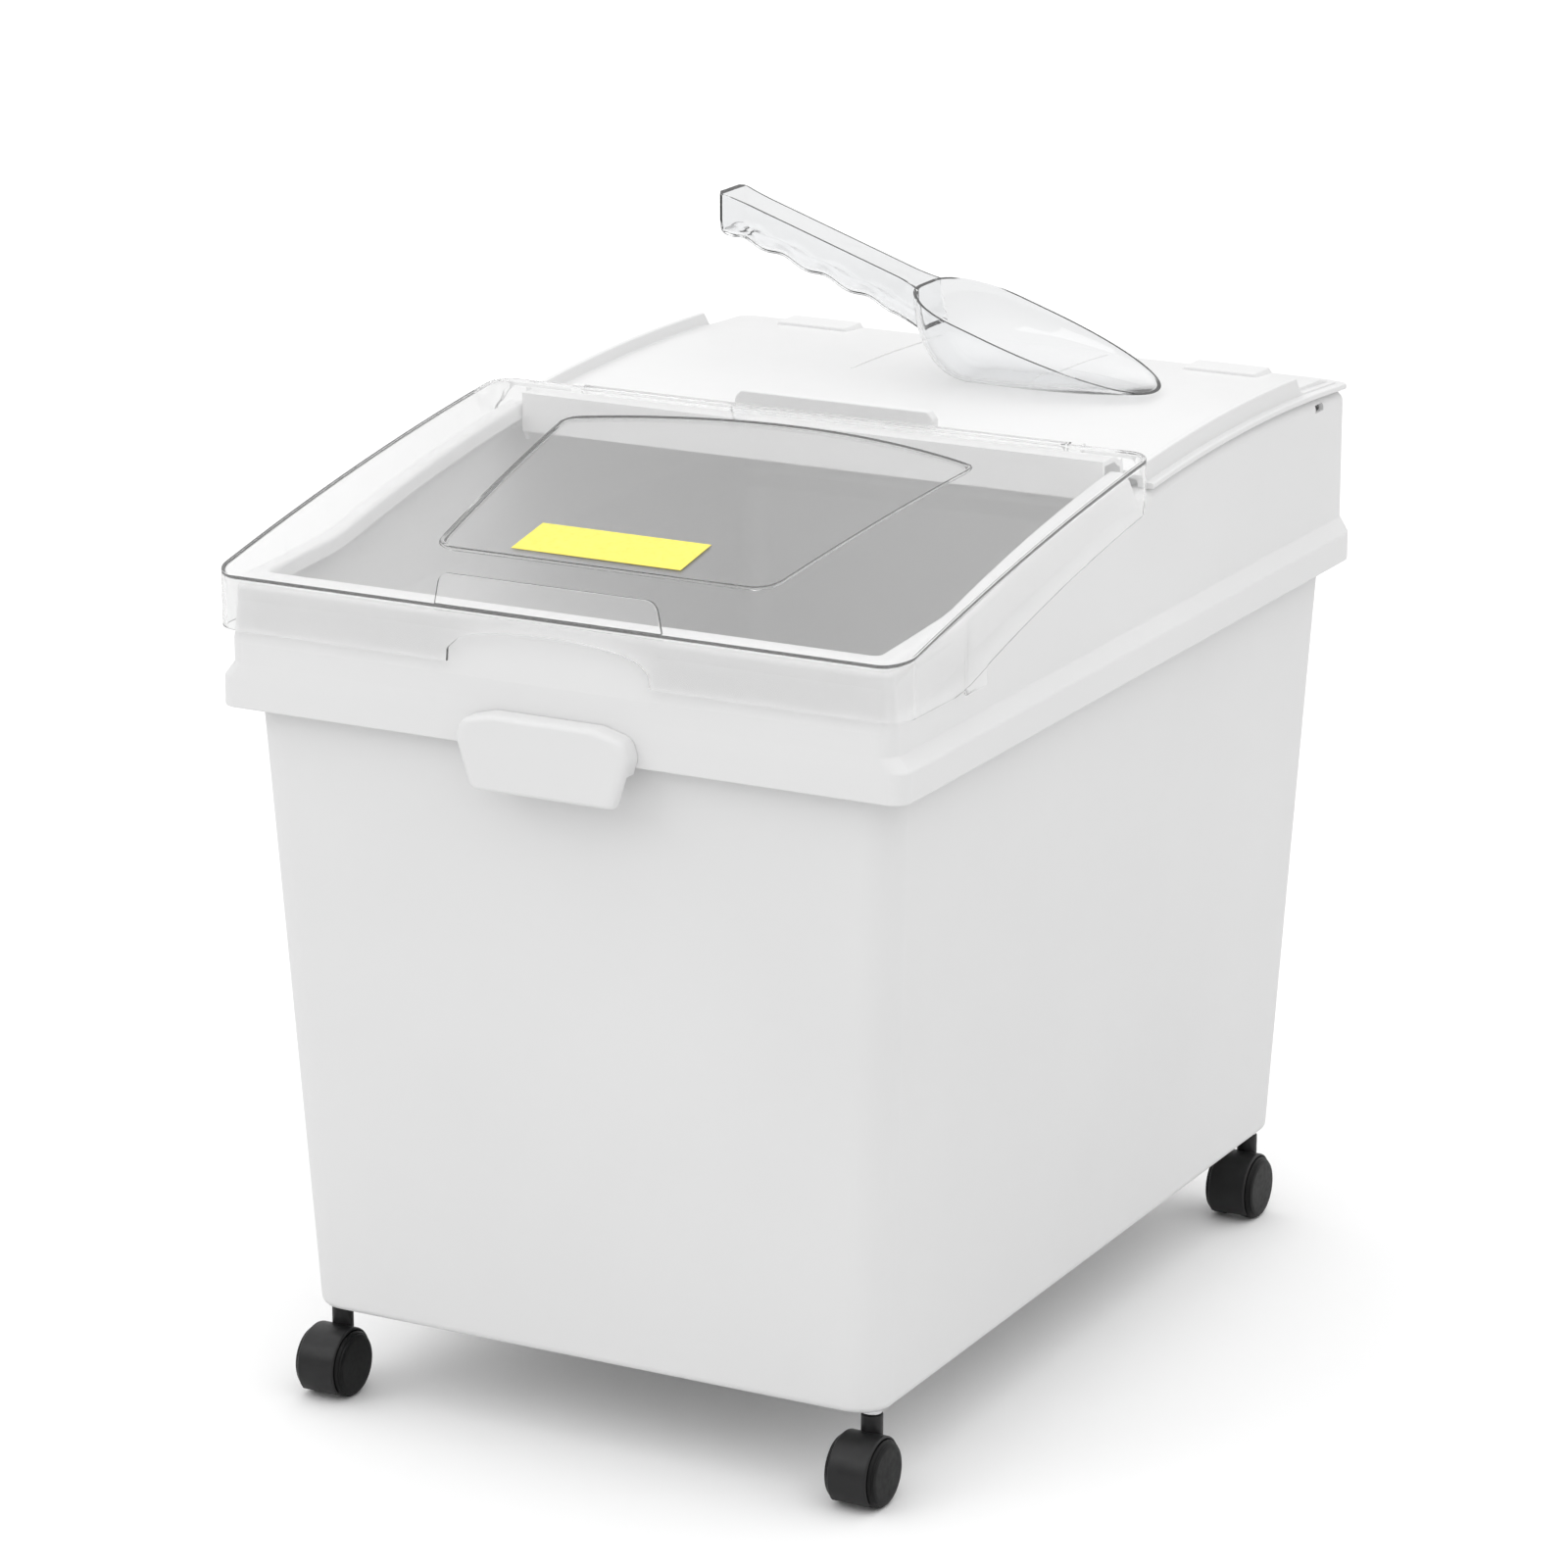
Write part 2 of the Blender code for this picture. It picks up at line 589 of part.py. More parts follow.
def panel_ring(lift, outset=0.0):
    """The sunk panel's outline, which widens to a bowed rear edge, at a height above the lid's top."""
    front, rear = PANEL_Y[0] - outset, PANEL_Y[1] + outset
    corner_y = rear - PANEL_REAR_BOW * PANEL_REAR_HALF ** 2

    def half(y):
        share = (y - front) / (corner_y - front)
        return PANEL_FRONT_HALF + (PANEL_REAR_HALF - PANEL_FRONT_HALF) * share + outset

    radius = 0.014
    right = []
    for step in range(CORNER_STEPS + 1):
        angle = math.radians(-90 + 90 * step / CORNER_STEPS)
        y = front + radius + radius * math.sin(angle)
        right.append((half(y) - radius + radius * math.cos(angle), y))
    right += [(half(y), y) for y in (-0.190, -0.150, -0.110, -0.080, corner_y - 0.010)]
    right.append((half(corner_y) - 0.0025, corner_y))
    right += [(x, rear - PANEL_REAR_BOW * x ** 2) for x in (0.116, 0.095, 0.070, 0.045, 0.020)]
    outline = right + [(-x, y) for x, y in reversed(right)]
    return [(PANEL_X + x, y, lid_top_z(y) + lift) for x, y in outline]


def label():
    """A plain sticker near the panel's front edge."""
    low_x, high_x, front, rear, thick = -0.0655, 0.0395, -0.2220, -0.1875, 0.0003
    middle = (front + rear) / 2
    outline = []
    for lift in (0.0, thick):
        row = [(y, lid_top_z(y) - PANEL_DEPTH + GAP + lift) for y in (front, middle, rear)]
        outline += row if lift == 0.0 else list(reversed(row))
    return extrude_x("label", outline, low_x, high_x)


# Casters

def caster_places():
    return [(x, y) for y in CASTER_Y for x in (-CASTER_X, CASTER_X)]


def caster_housing(x, y):
    """The hooded housing with its neck, bored for the stem and the axle."""
    axle_y = y - TRAIL
    centre = (x, axle_y, WHEEL_RADIUS)
    outline = []
    for step in range(25):
        angle = math.radians(24 + 197 * step / 24)
        outline.append((axle_y + HOOD_RADIUS * math.cos(angle), WHEEL_RADIUS + HOOD_RADIUS * math.sin(angle)))
    outline += [(axle_y - 0.0080, 0.0045), (axle_y + 0.0010, 0.0045), (axle_y + 0.0050, 0.0110)]
    hood = extrude_x("hood", outline, x - 0.0118, x + 0.0118)
    neck = rod("neck", (x, y, 0), "Z", NECK_RADIUS, 0.0300, NECK_TOP_Z)
    solid = combine("housing_solid", hood, [neck], "UNION")
    cuts = []
    for side in (-1, 1):
        start, end = sorted((side * 0.0045, side * 0.0300))
        cuts.append(rod("clear", centre, "X", HOOD_CLEARANCE, start, end, 32))
    cuts.append(rod("stem_bore", (x, y, 0), "Z", STEM_RADIUS + GAP, 0.0375, NECK_TOP_Z + 0.01))
    cuts.append(rod("axle_bore", centre, "X", AXLE_RADIUS + GAP, -0.03, 0.03))
    return combine("caster_housing", solid, cuts, "DIFFERENCE")


def caster_wheel(x, y, side):
    """One wheel of the pair: a tread with round edges, a sunk ring on its outer face and a blind bore."""
    near, far = WHEEL_INNER_X, WHEEL_OUTER_X
    radius = WHEEL_RADIUS
    bore = AXLE_RADIUS + GAP
    profile = [(0, far - 0.0016), (bore, far - 0.0016), (bore, near), (radius - 0.0012, near), (radius, near + 0.0012),
               (radius, far - 0.0032), (radius - 0.0014, far - 0.0008), (radius - 0.0024, far - 0.0004),
               (radius - 0.0030, far - 0.0010), (radius - 0.0040, far - 0.0010), (radius - 0.0046, far - 0.0002),
               (radius * 0.45, far), (0, far)]
    return turned("wheel", [(r, side * a) for r, a in profile], (x, y - TRAIL, WHEEL_RADIUS), "X", 32)


def caster_socket(x, y):
    """The sleeve pressed into the tub's boss, with a flange let in flush with the underside."""
    inner = STEM_RADIUS + GAP
    flange_top = TUB_FLOOR_Z + FLANGE_THICK
    profile = [(inner, TUB_FLOOR_Z), (FLANGE_RADIUS, TUB_FLOOR_Z), (FLANGE_RADIUS, flange_top),
               (SOCKET_RADIUS, flange_top), (SOCKET_RADIUS, 0.0805), (inner, 0.0805)]
    return turned("socket", profile, (x, y, 0), "Z", 20)


def caster_stem(x, y):
    """The steel stem: a pin with a collar under the tub, a rounded top and the groove of its grip ring."""
    profile = [(0, 0.0380), (0.0035, 0.0380), (STEM_RADIUS, 0.0386), (STEM_RADIUS, 0.0490), (0.0056, 0.0490),
               (0.0056, 0.0518), (STEM_RADIUS, 0.0518), (STEM_RADIUS, 0.0735), (0.0033, 0.0742),
               (0.0033, 0.0757), (STEM_RADIUS, 0.0764), (0.0030, 0.0790), (0, 0.0795)]
    return turned("stem", profile, (x, y, 0), "Z", 20)


def add_caster(name, x, y, finishes):
    swivel = add_pivot(name + "_swivel", (x, y, 0))
    axle_centre = (x, y - TRAIL, WHEEL_RADIUS)
    add_object(name + "_socket", caster_socket(x, y), finishes["steel"])
    add_object(name + "_stem", caster_stem(x, y), finishes["steel"])
    add_object(name + "_housing", caster_housing(x, y), finishes["black"], (x, y, 0), swivel)
    axle = rod("axle", axle_centre, "X", AXLE_RADIUS, -0.0134, 0.0134, 16)
    add_object(name + "_axle", axle, finishes["steel"], axle_centre, swivel)
    for side, side_name in ((-1, "left"), (1, "right")):
        wheel = caster_wheel(x, y, side)
        add_object(name + "_wheel_" + side_name, wheel, finishes["tread"], axle_centre, swivel)


# Scoop, modelled with its mouth towards +Y and its floor at 0

def scoop_ring(inset, height):
    """A closed outline seen from above: round back corners and a rounded tip, drawn in by inset."""
    half = SCOOP_HALF - inset
    corner = SCOOP_BACK_CORNER - inset
    right = []
    for step in range(CORNER_STEPS + 1):
        angle = math.radians(-90 + 90 * step / CORNER_STEPS)
        right.append((half - corner + corner * math.cos(angle), inset + corner + corner * math.sin(angle)))
    right.append((half, (SCOOP_BACK_CORNER + SCOOP_TIP_START) / 2))
    tip = SCOOP_LENGTH - SCOOP_TIP_START - inset
    for step in range(7):
        angle = math.radians(90 * step / 7)
        across = half * math.cos(angle) ** 0.92
        right.append((across, SCOOP_TIP_START + tip * math.sin(angle)))
    middle = [(0.0, SCOOP_LENGTH - inset)]
    outline = right + middle + [(-x, y) for x, y in reversed(right)]
    return [(x, y, height(y)) for x, y in outline]


def scoop_rim_z(y):
    return SCOOP_BACK_Z - SCOOP_SLOPE * y


def scoop_rings(wall):
    """Rings from the flat bottom up to the rim of the bowl's outside, or of its inside when wall is given."""
    radius = SCOOP_BOTTOM_RADIUS - wall
    rings = []
    for step in range(6):
        angle = math.radians(90 * step / 5)
        drawn_in = radius * (1 - math.sin(angle))
        share = 1 - math.cos(angle)
        rings.append(scoop_ring(wall + drawn_in, lambda y: wall + (scoop_rim_z(y) - wall) * share))
    return rings


def handle_rows(inside, start, end):
    """Sections of the handle's channel: its top edges follow the rim's plane, and its underside is waved."""
    rows = []
    for step in range(25):
        share = step / 24
        y = start + (end - start) * share
        along = -y / HANDLE_LENGTH
        flare = 0.0035 * max(0.0, (along - 0.82) / 0.18) ** 2
        root = 0.006 * max(0.0, 1 - (along + 0.05) / 0.16) ** 2 if along > -0.05 else 0.006
        half = HANDLE_HALF + flare + root - inside
        wave = 0.0013 * math.cos(2 * math.pi * (along - 0.14) * 4.6) if 0.14 < along < 0.90 else 0.0013
        top = scoop_rim_z(y) + (0.004 if inside else 0.0)
        low = scoop_rim_z(y) - HANDLE_DEPTH - wave + inside
        rise = 0.008
        rows.append([(-half + 0.006, y, low), (half - 0.006, y, low), (half - 0.0015, y, low + 0.0025),
                     (half, y, low + rise), (half, y, top), (-half, y, top), (-half, y, low + rise),
                     (-half + 0.0015, y, low + 0.0025)])
    return rows


def scoop():
    """The scoop, lying across the rear lid with its mouth to the right."""
    outside = loft("outside", scoop_rings(0.0))
    handle = loft("handle", handle_rows(0.0, 0.010, -HANDLE_LENGTH))
    body = combine("scoop_solid", outside, [handle], "UNION")
    lift = [[(x, y, z + 0.02) for x, y, z in scoop_rings(SCOOP_WALL)[-1]]]
    hollow = loft("hollow", scoop_rings(SCOOP_WALL) + lift)
    channel = loft("channel", handle_rows(SCOOP_WALL, 0.012, 0.003 - HANDLE_LENGTH))
    channel = combine("channel", channel, [loft("back", scoop_rings(0.0))], "DIFFERENCE")
    slot = box("slot", (-0.0065, -0.1235, 0.02), (0.0065, -0.1165, 0.12))
    body = combine("scoop", body, [hollow, channel, slot], "DIFFERENCE")
    body.transform(Matrix.Rotation(-math.pi / 2, 4, "Z"))
    body.transform(Matrix.Translation((*SCOOP_PLACE, PLATE_APEX_Z + GAP)))
    return body


def main():
    for obj in list(bpy.data.objects):
        bpy.data.objects.remove(obj)
    finishes = {
        "white": material("white_plastic", WHITE, 0.38),
        "clear": material("clear_plastic", CLEAR, 0.08, alpha=0.35),
        "yellow": material("yellow_label", YELLOW, 0.45),
        "black": material("black_nylon", BLACK, 0.42),
        "tread": material("wheel_plastic", (0.012, 0.012, 0.013), 0.5),
        "steel": material("plated_steel", STEEL, 0.2, metallic=1.0),
    }
    add_object("bin_body", bin_body(), finishes["white"])
    add_object("front_grip", front_grip(), finishes["white"])
    add_object("rear_lid", rear_lid(), finishes["white"])
    hinge = add_pivot("lid_hinge", (0, HINGE_Y, HINGE_Z))
    add_object("clear_lid", clear_lid(), finishes["clear"], (0, HINGE_Y, HINGE_Z), hinge)
    add_object("label", label(), finishes["yellow"], (0, HINGE_Y, HINGE_Z), hinge)
    add_object("scoop", scoop(), finishes["clear"])
    names = ("caster_front_left", "caster_front_right", "caster_rear_left", "caster_rear_right")
    for name, (x, y) in zip(names, caster_places()):
        add_caster(name, x, y, finishes)


main()
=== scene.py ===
"""Looks for the pet food bin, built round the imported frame. Metres, +Z up, front facing -Y."""

import math

import bmesh
import bpy
from mathutils import Matrix, Vector


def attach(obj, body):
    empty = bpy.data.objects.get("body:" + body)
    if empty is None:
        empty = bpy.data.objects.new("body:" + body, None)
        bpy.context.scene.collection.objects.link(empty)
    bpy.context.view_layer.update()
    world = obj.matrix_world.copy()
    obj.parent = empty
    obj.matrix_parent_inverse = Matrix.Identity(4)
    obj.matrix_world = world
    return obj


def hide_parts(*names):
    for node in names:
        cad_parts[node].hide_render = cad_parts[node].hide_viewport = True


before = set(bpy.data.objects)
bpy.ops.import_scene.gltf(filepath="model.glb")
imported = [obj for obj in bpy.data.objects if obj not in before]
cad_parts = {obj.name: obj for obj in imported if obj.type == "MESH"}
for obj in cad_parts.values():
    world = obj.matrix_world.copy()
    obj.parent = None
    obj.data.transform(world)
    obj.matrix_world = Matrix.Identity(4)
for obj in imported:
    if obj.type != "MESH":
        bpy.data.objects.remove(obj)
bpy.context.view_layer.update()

# The same driving sizes as the CAD
GAP = 0.0003
SKIRT_HALF, FRONT_Y, REAR_Y = 0.210, -0.294, 0.306
TUB_FLOOR_Z, TUB_FLOOR_HALF, TUB_FLOOR_INSET = 0.0525, 0.180, 0.031
SKIRT_BOTTOM_Z, TUB_TOP_HALF, TUB_TOP_INSET = 0.409, 0.197, 0.0125
WALL = 0.003
LEDGE_OUTER_Z, LEDGE_INNER_Z = 0.426, 0.4345
HOOD_HALF, HOOD_REAR_Y, HOOD_FRONT_Y = 0.203, 0.3045, -0.2937
HOOD_CORNER, SKIRT_FRONT_CORNER, SKIRT_REAR_CORNER = 0.009, 0.010, 0.015
TUB_CORNER, INNER_CORNER = 0.019, 0.005
ARC_Y, ARC_RADIUS, SHOULDER_APEX_Z = 0.176, 1.650, 0.5165
RIM_RISE, RIM_FRONT_Z, RIM_FRONT_SLOPE, RIM_OPENING_HALF = 0.0147, 0.4820, 0.06, 0.187
RIM_STEP_Y, ROLL_THICK, ROLL_LIP = (0.000, 0.006), 0.003, 0.010
WINDOW_Y, WINDOW_Z, WINDOW_REACH = (0.2565, 0.2680), (0.5055, 0.5100), 0.006
TAB_SLOT_X, TAB_SLOT_Y, TAB_SLOT_Z = (0.1850, 0.1968), (0.2565, 0.2675), (0.4950, 0.5250)
LID_HALF, LID_FRONT_Y, LID_REAR_Y, LID_THICK = 0.211, -0.2975, 0.010, 0.0022
LID_ARC_Y, LID_ARC_RADIUS, LID_APEX_Z = 0.281, 2.700, 0.547
LID_FRONT_BOTTOM_Z, LID_SKIRT_DROP, LID_SKIRT_TAPER = 0.454, 0.0055, 0.028
LID_CORNER, LID_REAR_CORNER, LID_BEAD = 0.016, 0.014, 0.0004
HINGE_Y, HINGE_Z = 0.0185, 0.5285
BARREL_RADIUS, BARREL_HALF, PIN_RADIUS, PIN_END = 0.0038, 0.155, 0.0022, 0.1625
PANEL_X, PANEL_Y, PANEL_DEPTH, PANEL_REAR_BOW = -0.005, (-0.231, -0.0136), 0.0011, 1.64
PANEL_FRONT_HALF, PANEL_REAR_HALF = 0.102, 0.1295
PULL_HALF, PULL_TOP_Z = 0.066, 0.5025
CLIP_Y, CLIP_Z = (-0.223, -0.198), (0.4525, 0.4780)
STRIP_OUTER, STRIP_INNER, STRIP_Y = 0.1995, 0.1960, (0.032, 0.236)
REAR_LID_HALF, REAR_LID_REAR_Y, REAR_LID_CORNER = 0.2045, 0.306, 0.009
STRIP_APEX_Z, PLATE_APEX_Z, PLATE_THICK, REAR_LID_FRONT_Y = 0.5315, 0.5240, 0.0025, 0.0235
TAB_X, TAB_Y, TAB_Z = (0.1915, 0.1960), (0.2575, 0.2665), (0.5050, 0.5185)
LUG_X, RIB_X = 0.137, 0.058
CASTER_X, CASTER_Y = 0.1690, (-0.2460, 0.2585)
WHEEL_RADIUS, TRAIL, WHEEL_INNER_X, WHEEL_OUTER_X = 0.0190, 0.0105, 0.0052, 0.0155
AXLE_RADIUS, HOUSING_RADIUS, HOUSING_CLEARANCE = 0.0022, 0.0208, 0.0197
NECK_RADIUS, NECK_TOP_Z, STEM_RADIUS = 0.0061, 0.0486, 0.0039
SOCKET_RADIUS, FLANGE_RADIUS, FLANGE_THICK, BOSS_RADIUS, BOSS_TOP_Z = 0.0052, 0.0062, 0.0015, 0.0090, 0.0850
SCOOP_LENGTH, SCOOP_HALF, SCOOP_BACK_Z, SCOOP_TIP_Z = 0.150, 0.047, 0.0540, 0.0032
SCOOP_SLOPE = (SCOOP_BACK_Z - SCOOP_TIP_Z) / SCOOP_LENGTH
SCOOP_WALL, SCOOP_BOTTOM_RADIUS, SCOOP_BACK_CORNER, SCOOP_TIP_START = 0.0022, 0.036, 0.039, 0.062
SCOOP_PLACE = (-0.014, 0.176)
HANDLE_LENGTH, HANDLE_HALF, HANDLE_DEPTH = 0.132, 0.0140, 0.0235
HANDLE_FLARE, HANDLE_ROOT, FINGER_DEPTH, FINGER_START, FINGER_COUNT = 0.0035, 0.006, 0.0013, 0.14, 4.6

# The view that matches the photo, with angles in degrees
CAMERA_PLACE, CAMERA_YAW, CAMERA_PITCH, CAMERA_LENS = (1.5349, -2.9190, 1.2916), 27.98, 16.47, 136.7

CORNER_STEPS = 14
SIDE_STEP = 0.012
SHARP_ANGLE = math.radians(38)


# Profile curves

def arc_z(y, apex):
    """Height at y on the hood's side arc whose highest point is at apex."""
    return apex - ARC_RADIUS + math.sqrt(ARC_RADIUS ** 2 - (y - ARC_Y) ** 2)


def lid_top_z(y):
    return LID_APEX_Z - LID_ARC_RADIUS + math.sqrt(LID_ARC_RADIUS ** 2 - (y - LID_ARC_Y) ** 2)


def rim_share(y):
    """1 where the rolled rim stands at its full height, 0 under the rear lid."""
    start, end = RIM_STEP_Y
    return min(1.0, max(0.0, (end - y) / (end - start)))


def shoulder_z(y):
    return arc_z(y, SHOULDER_APEX_Z) - 0.003 * (1 - rim_share(y))


def rim_top_z(y):
    rolled = max(arc_z(y, SHOULDER_APEX_Z + RIM_RISE), RIM_FRONT_Z + RIM_FRONT_SLOPE * (y - FRONT_Y))
    plain = arc_z(y, SHOULDER_APEX_Z)
    return plain + (rolled - plain) * rim_share(y)


def lid_skirt_z(y):
    shoulder = arc_z(y, SHOULDER_APEX_Z) - LID_SKIRT_DROP - LID_SKIRT_TAPER * max(0.0, 0.006 - y)
    return max(LID_FRONT_BOTTOM_Z, shoulder)


# Mesh helpers

def stations(low, high, extra=()):
    count = max(2, round((high - low) / SIDE_STEP))
    spaced = [low + (high - low) * i / count for i in range(count + 1)]
    return sorted(set([y for y in spaced if all(abs(y - e) > 0.003 for e in extra)] + list(extra)))


SIDE_Y = stations(-0.243, 0.245, RIM_STEP_Y)


def corner_points(half, centre_y, radius, start):
    """A quarter turn that ends against x = half, from the start angle in degrees."""
    points = []
    for step in range(CORNER_STEPS + 1):
        angle = math.radians(start + 90 * step / CORNER_STEPS)
        points.append((half - radius + radius * math.cos(angle), centre_y + radius * math.sin(angle)))
    return points


def mirrored(right, height):
    """A ring from its right half. height is a number or a function of y."""
    outline = right + [(-x, y) for x, y in reversed(right)]
    return [Vector((x, y, height(y) if callable(height) else height)) for x, y in outline]


def rounded_ring(half, front, rear, front_radius, height, rear_radius=None, sides=None):
    """A closed outline with round corners, mirrored left to right, with points along its sides."""
    rear_radius = front_radius if rear_radius is None else rear_radius
    right = corner_points(half, front + front_radius, front_radius, -90)
    right += [(half, y) for y in sides or SIDE_Y]
    right += corner_points(half, rear - rear_radius, rear_radius, 0)
    return mirrored(right, height)


def fillet(points, radii, steps=4):
    """A path through points with each corner rounded by its radius. A radius of 0 keeps one point."""
    out = []
    count = len(points)
    for i, (point, radius) in enumerate(zip(points, radii)):
        if radius == 0:
            out.append(point)
            continue
        before = points[(i - 1) % count] - point
        after = points[(i + 1) % count] - point
        angle = before.angle(after, math.pi)
        cut = radius / max(math.tan(angle / 2), 0.02)
        cut = min(cut, 0.48 * before.length, 0.48 * after.length)
        start = point + before.normalized() * cut if before.length > 1e-9 else point
        end = point + after.normalized() * cut if after.length > 1e-9 else point
        for step in range(steps + 1):
            share = step / steps
            out.append(start * (1 - share) ** 2 + point * 2 * share * (1 - share) + end * share ** 2)
    return out


def filleted_rings(rings, steps):
    """Rings with a rounded edge along each (ring, radius) that has a radius."""
    radii = [radius for _, radius in rings]
    columns = [fillet(list(column), radii, steps) for column in zip(*[ring for ring, _ in rings])]
    return [list(ring) for ring in zip(*columns)]


def mesh_of(name, points, faces):
    mesh = bpy.data.meshes.new(name)
    shape = bmesh.new()
    verts = [shape.verts.new(p) for p in points]
    for face in faces:
        shape.faces.new([verts[i] for i in face])
    bmesh.ops.remove_doubles(shape, verts=shape.verts, dist=1e-6)
    bmesh.ops.dissolve_degenerate(shape, edges=shape.edges, dist=1e-6)
    bmesh.ops.recalc_face_normals(shape, faces=shape.faces)
    shape.to_mesh(mesh)
    shape.free()
    mesh.shade_smooth()
    mesh.set_sharp_from_angle(angle=SHARP_ANGLE)
    return mesh


def loft_faces(rings, count, wrap=True):
    faces = []
    for ring in range(rings - 1):
        low = ring * count
        for i in range(count if wrap else count - 1):
            j = (i + 1) % count
            faces.append((low + i, low + j, low + count + j, low + count + i))
    return faces


def curved_cap(first, count):
    """Faces across a mirrored ring, each from one side's edge to the other's."""
    last = first + count - 1
    return [(first + i, first + i + 1, last - 1 - i, last - i) for i in range(count // 2 - 1)]


def loft(name, rings, curved=False):
    """A solid through closed rings, with flat ends or curved ones."""
    count = len(rings[0])
    last = (len(rings) - 1) * count
    faces = loft_faces(len(rings), count)
    if curved:
        faces += curved_cap(0, count) + curved_cap(last, count)
    else:
        faces += [tuple(range(count)), tuple(range(last, last + count))]
    return mesh_of(name, [p for ring in rings for p in ring], faces)


def open_loft(name, rings):
    """A shell from open rings whose ends lie in one plane, closed above, below and in that plane."""
    count = len(rings[0])
    faces = loft_faces(len(rings), count, wrap=False)
    faces += curved_cap(0, count) + curved_cap((len(rings) - 1) * count, count)
    ends = [ring * count for ring in range(len(rings))]
    faces.append(tuple(ends + [end + count - 1 for end in reversed(ends)]))
    return mesh_of(name, [p for ring in rings for p in ring], faces)


def inset_outline(outline, distance):
    """A flat outline with each point moved inwards, along the bisector of its two sides."""
    points = [Vector(p) for p in outline]
    if distance == 0:
        return points
    middle = sum(points, Vector((0, 0))) / len(points)
    moved = []
    for i, point in enumerate(points):
        along = (point - points[i - 1]).normalized() + (points[(i + 1) % len(points)] - point).normalized()
        normal = Vector((-along.y, along.x)).normalized()
        if (middle - point).dot(normal) < 0:
            normal = -normal
        moved.append(point + normal * distance)
    return moved


def prism(name, outline, low, high, axis, edge=0.0, steps=3):
    """A prism along X or Y from a flat outline, with its two end faces' edges rounded by edge."""
    levels = [(low, 0.0), (high, 0.0)]
    if edge > 0:
        angles = [math.pi / 2 * step / steps for step in range(steps + 1)]
        levels = [(low + edge * (1 - math.cos(a)), edge * (1 - math.sin(a))) for a in angles]
        levels += [(low + high - along, distance) for along, distance in reversed(levels)]
    rings = []
    for along, distance in levels:
        ring = inset_outline(outline, distance)
        rings.append([Vector((along, a, b) if axis == "X" else (a, along, b)) for a, b in ring])
    return loft(name, rings)


def box(name, low, high, edge=0.0):
    (x0, y0, z0), (x1, y1, z1) = low, high
    return prism(name, [(y0, z0), (y1, z0), (y1, z1), (y0, z1)], x0, x1, "X", edge)


def turned(name, profile, centre, axis, steps=48, radii=None):
    """A solid turned round X or Z through centre, from (radius, along) points, with its corners rounded."""
    path = [Vector((r, a, 0)) for r, a in profile]
    closed_profile = profile[0][0] > 0
    path = fillet(path, radii or [0] * len(path), 4)
    points, rings = [], []
    for station in path:
        radius, along = station.x, station.y
        ring = []
        for step in range(steps if radius > 1e-7 else 1):
            angle = 2 * math.pi * step / steps
            a, b = radius * math.cos(angle), radius * math.sin(angle)
            offset = (along, a, b) if axis == "X" else (a, b, along)
            ring.append(len(points))
            points.append(tuple(c + o for c, o in zip(centre, offset)))
        rings.append(ring)
    pairs = list(zip(rings, rings[1:])) + ([(rings[-1], rings[0])] if closed_profile else [])
    faces = []
    for low, high in pairs:
        for i in range(steps):
            j = (i + 1) % steps
            corner = [low[i % len(low)], low[j % len(low)], high[j % len(high)], high[i % len(high)]]
            faces.append(tuple(dict.fromkeys(corner)))
    return mesh_of(name, points, [f for f in faces if len(f) > 2])


def rod(name, radius, start, end, centre, axis, steps):
    """A plain rod from start to end along X or Z, for cutting a bore."""
    return turned(name, [(0, start), (radius, start), (radius, end), (0, end)], centre, axis, steps)


def combine(name, base, others, operation):
    """The base mesh joined with, or cut by, the others."""
    work = bpy.data.objects.new(name + "_work", base)
    bpy.context.scene.collection.objects.link(work)
    helpers = []
    for other in others:
        helper = bpy.data.objects.new(name + "_helper", other)
        bpy.context.scene.collection.objects.link(helper)
        helpers.append(helper)
        boolean = work.modifiers.new("combine", "BOOLEAN")
        boolean.operation = operation
        boolean.object = helper
    graph = bpy.context.evaluated_depsgraph_get()
    mesh = bpy.data.meshes.new_from_object(work.evaluated_get(graph))
    for obj in [work, *helpers]:
        bpy.data.objects.remove(obj)
    mesh.name = name
    mesh.materials.clear()
    mesh.shade_smooth()
    mesh.set_sharp_from_angle(angle=SHARP_ANGLE)
    return mesh


def piece(name, mesh, material, body, slot, *nodes, weighted=True, bevel=0.0):
    """A shown piece that rides on a body and stands for CAD nodes."""
    mesh.materials.clear()
    mesh.materials.append(material)
    obj = bpy.data.objects.new(name, mesh)
    bpy.context.scene.collection.objects.link(obj)
    if bevel:
        rounding = obj.modifiers.new("rounding", "BEVEL")
        rounding.width = bevel
        rounding.segments = 3
        rounding.limit_method = "ANGLE"
        rounding.angle_limit = SHARP_ANGLE
        rounding.harden_normals = False
    if weighted:
        normals = obj.modifiers.new("normals", "WEIGHTED_NORMAL")
        normals.keep_sharp = True
    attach(obj, body)
    if nodes:
        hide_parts(*nodes)
    return obj


# Materials

def new_material(name):
    """A new material, its node tree and its Principled shader."""
    made = bpy.data.materials.new(name)
    made.use_nodes = True
    tree = made.node_tree
    return made, tree, tree.nodes["Principled BSDF"]


def noise(tree, scale, detail=3.0):
    place = tree.nodes.new("ShaderNodeTexCoord")
    texture = tree.nodes.new("ShaderNodeTexNoise")
    texture.inputs["Scale"].default_value = scale
    texture.inputs["Detail"].default_value = detail
    texture.inputs["Roughness"].default_value = 0.5
    tree.links.new(place.outputs["Object"], texture.inputs["Vector"])
    return texture.outputs["Fac"]


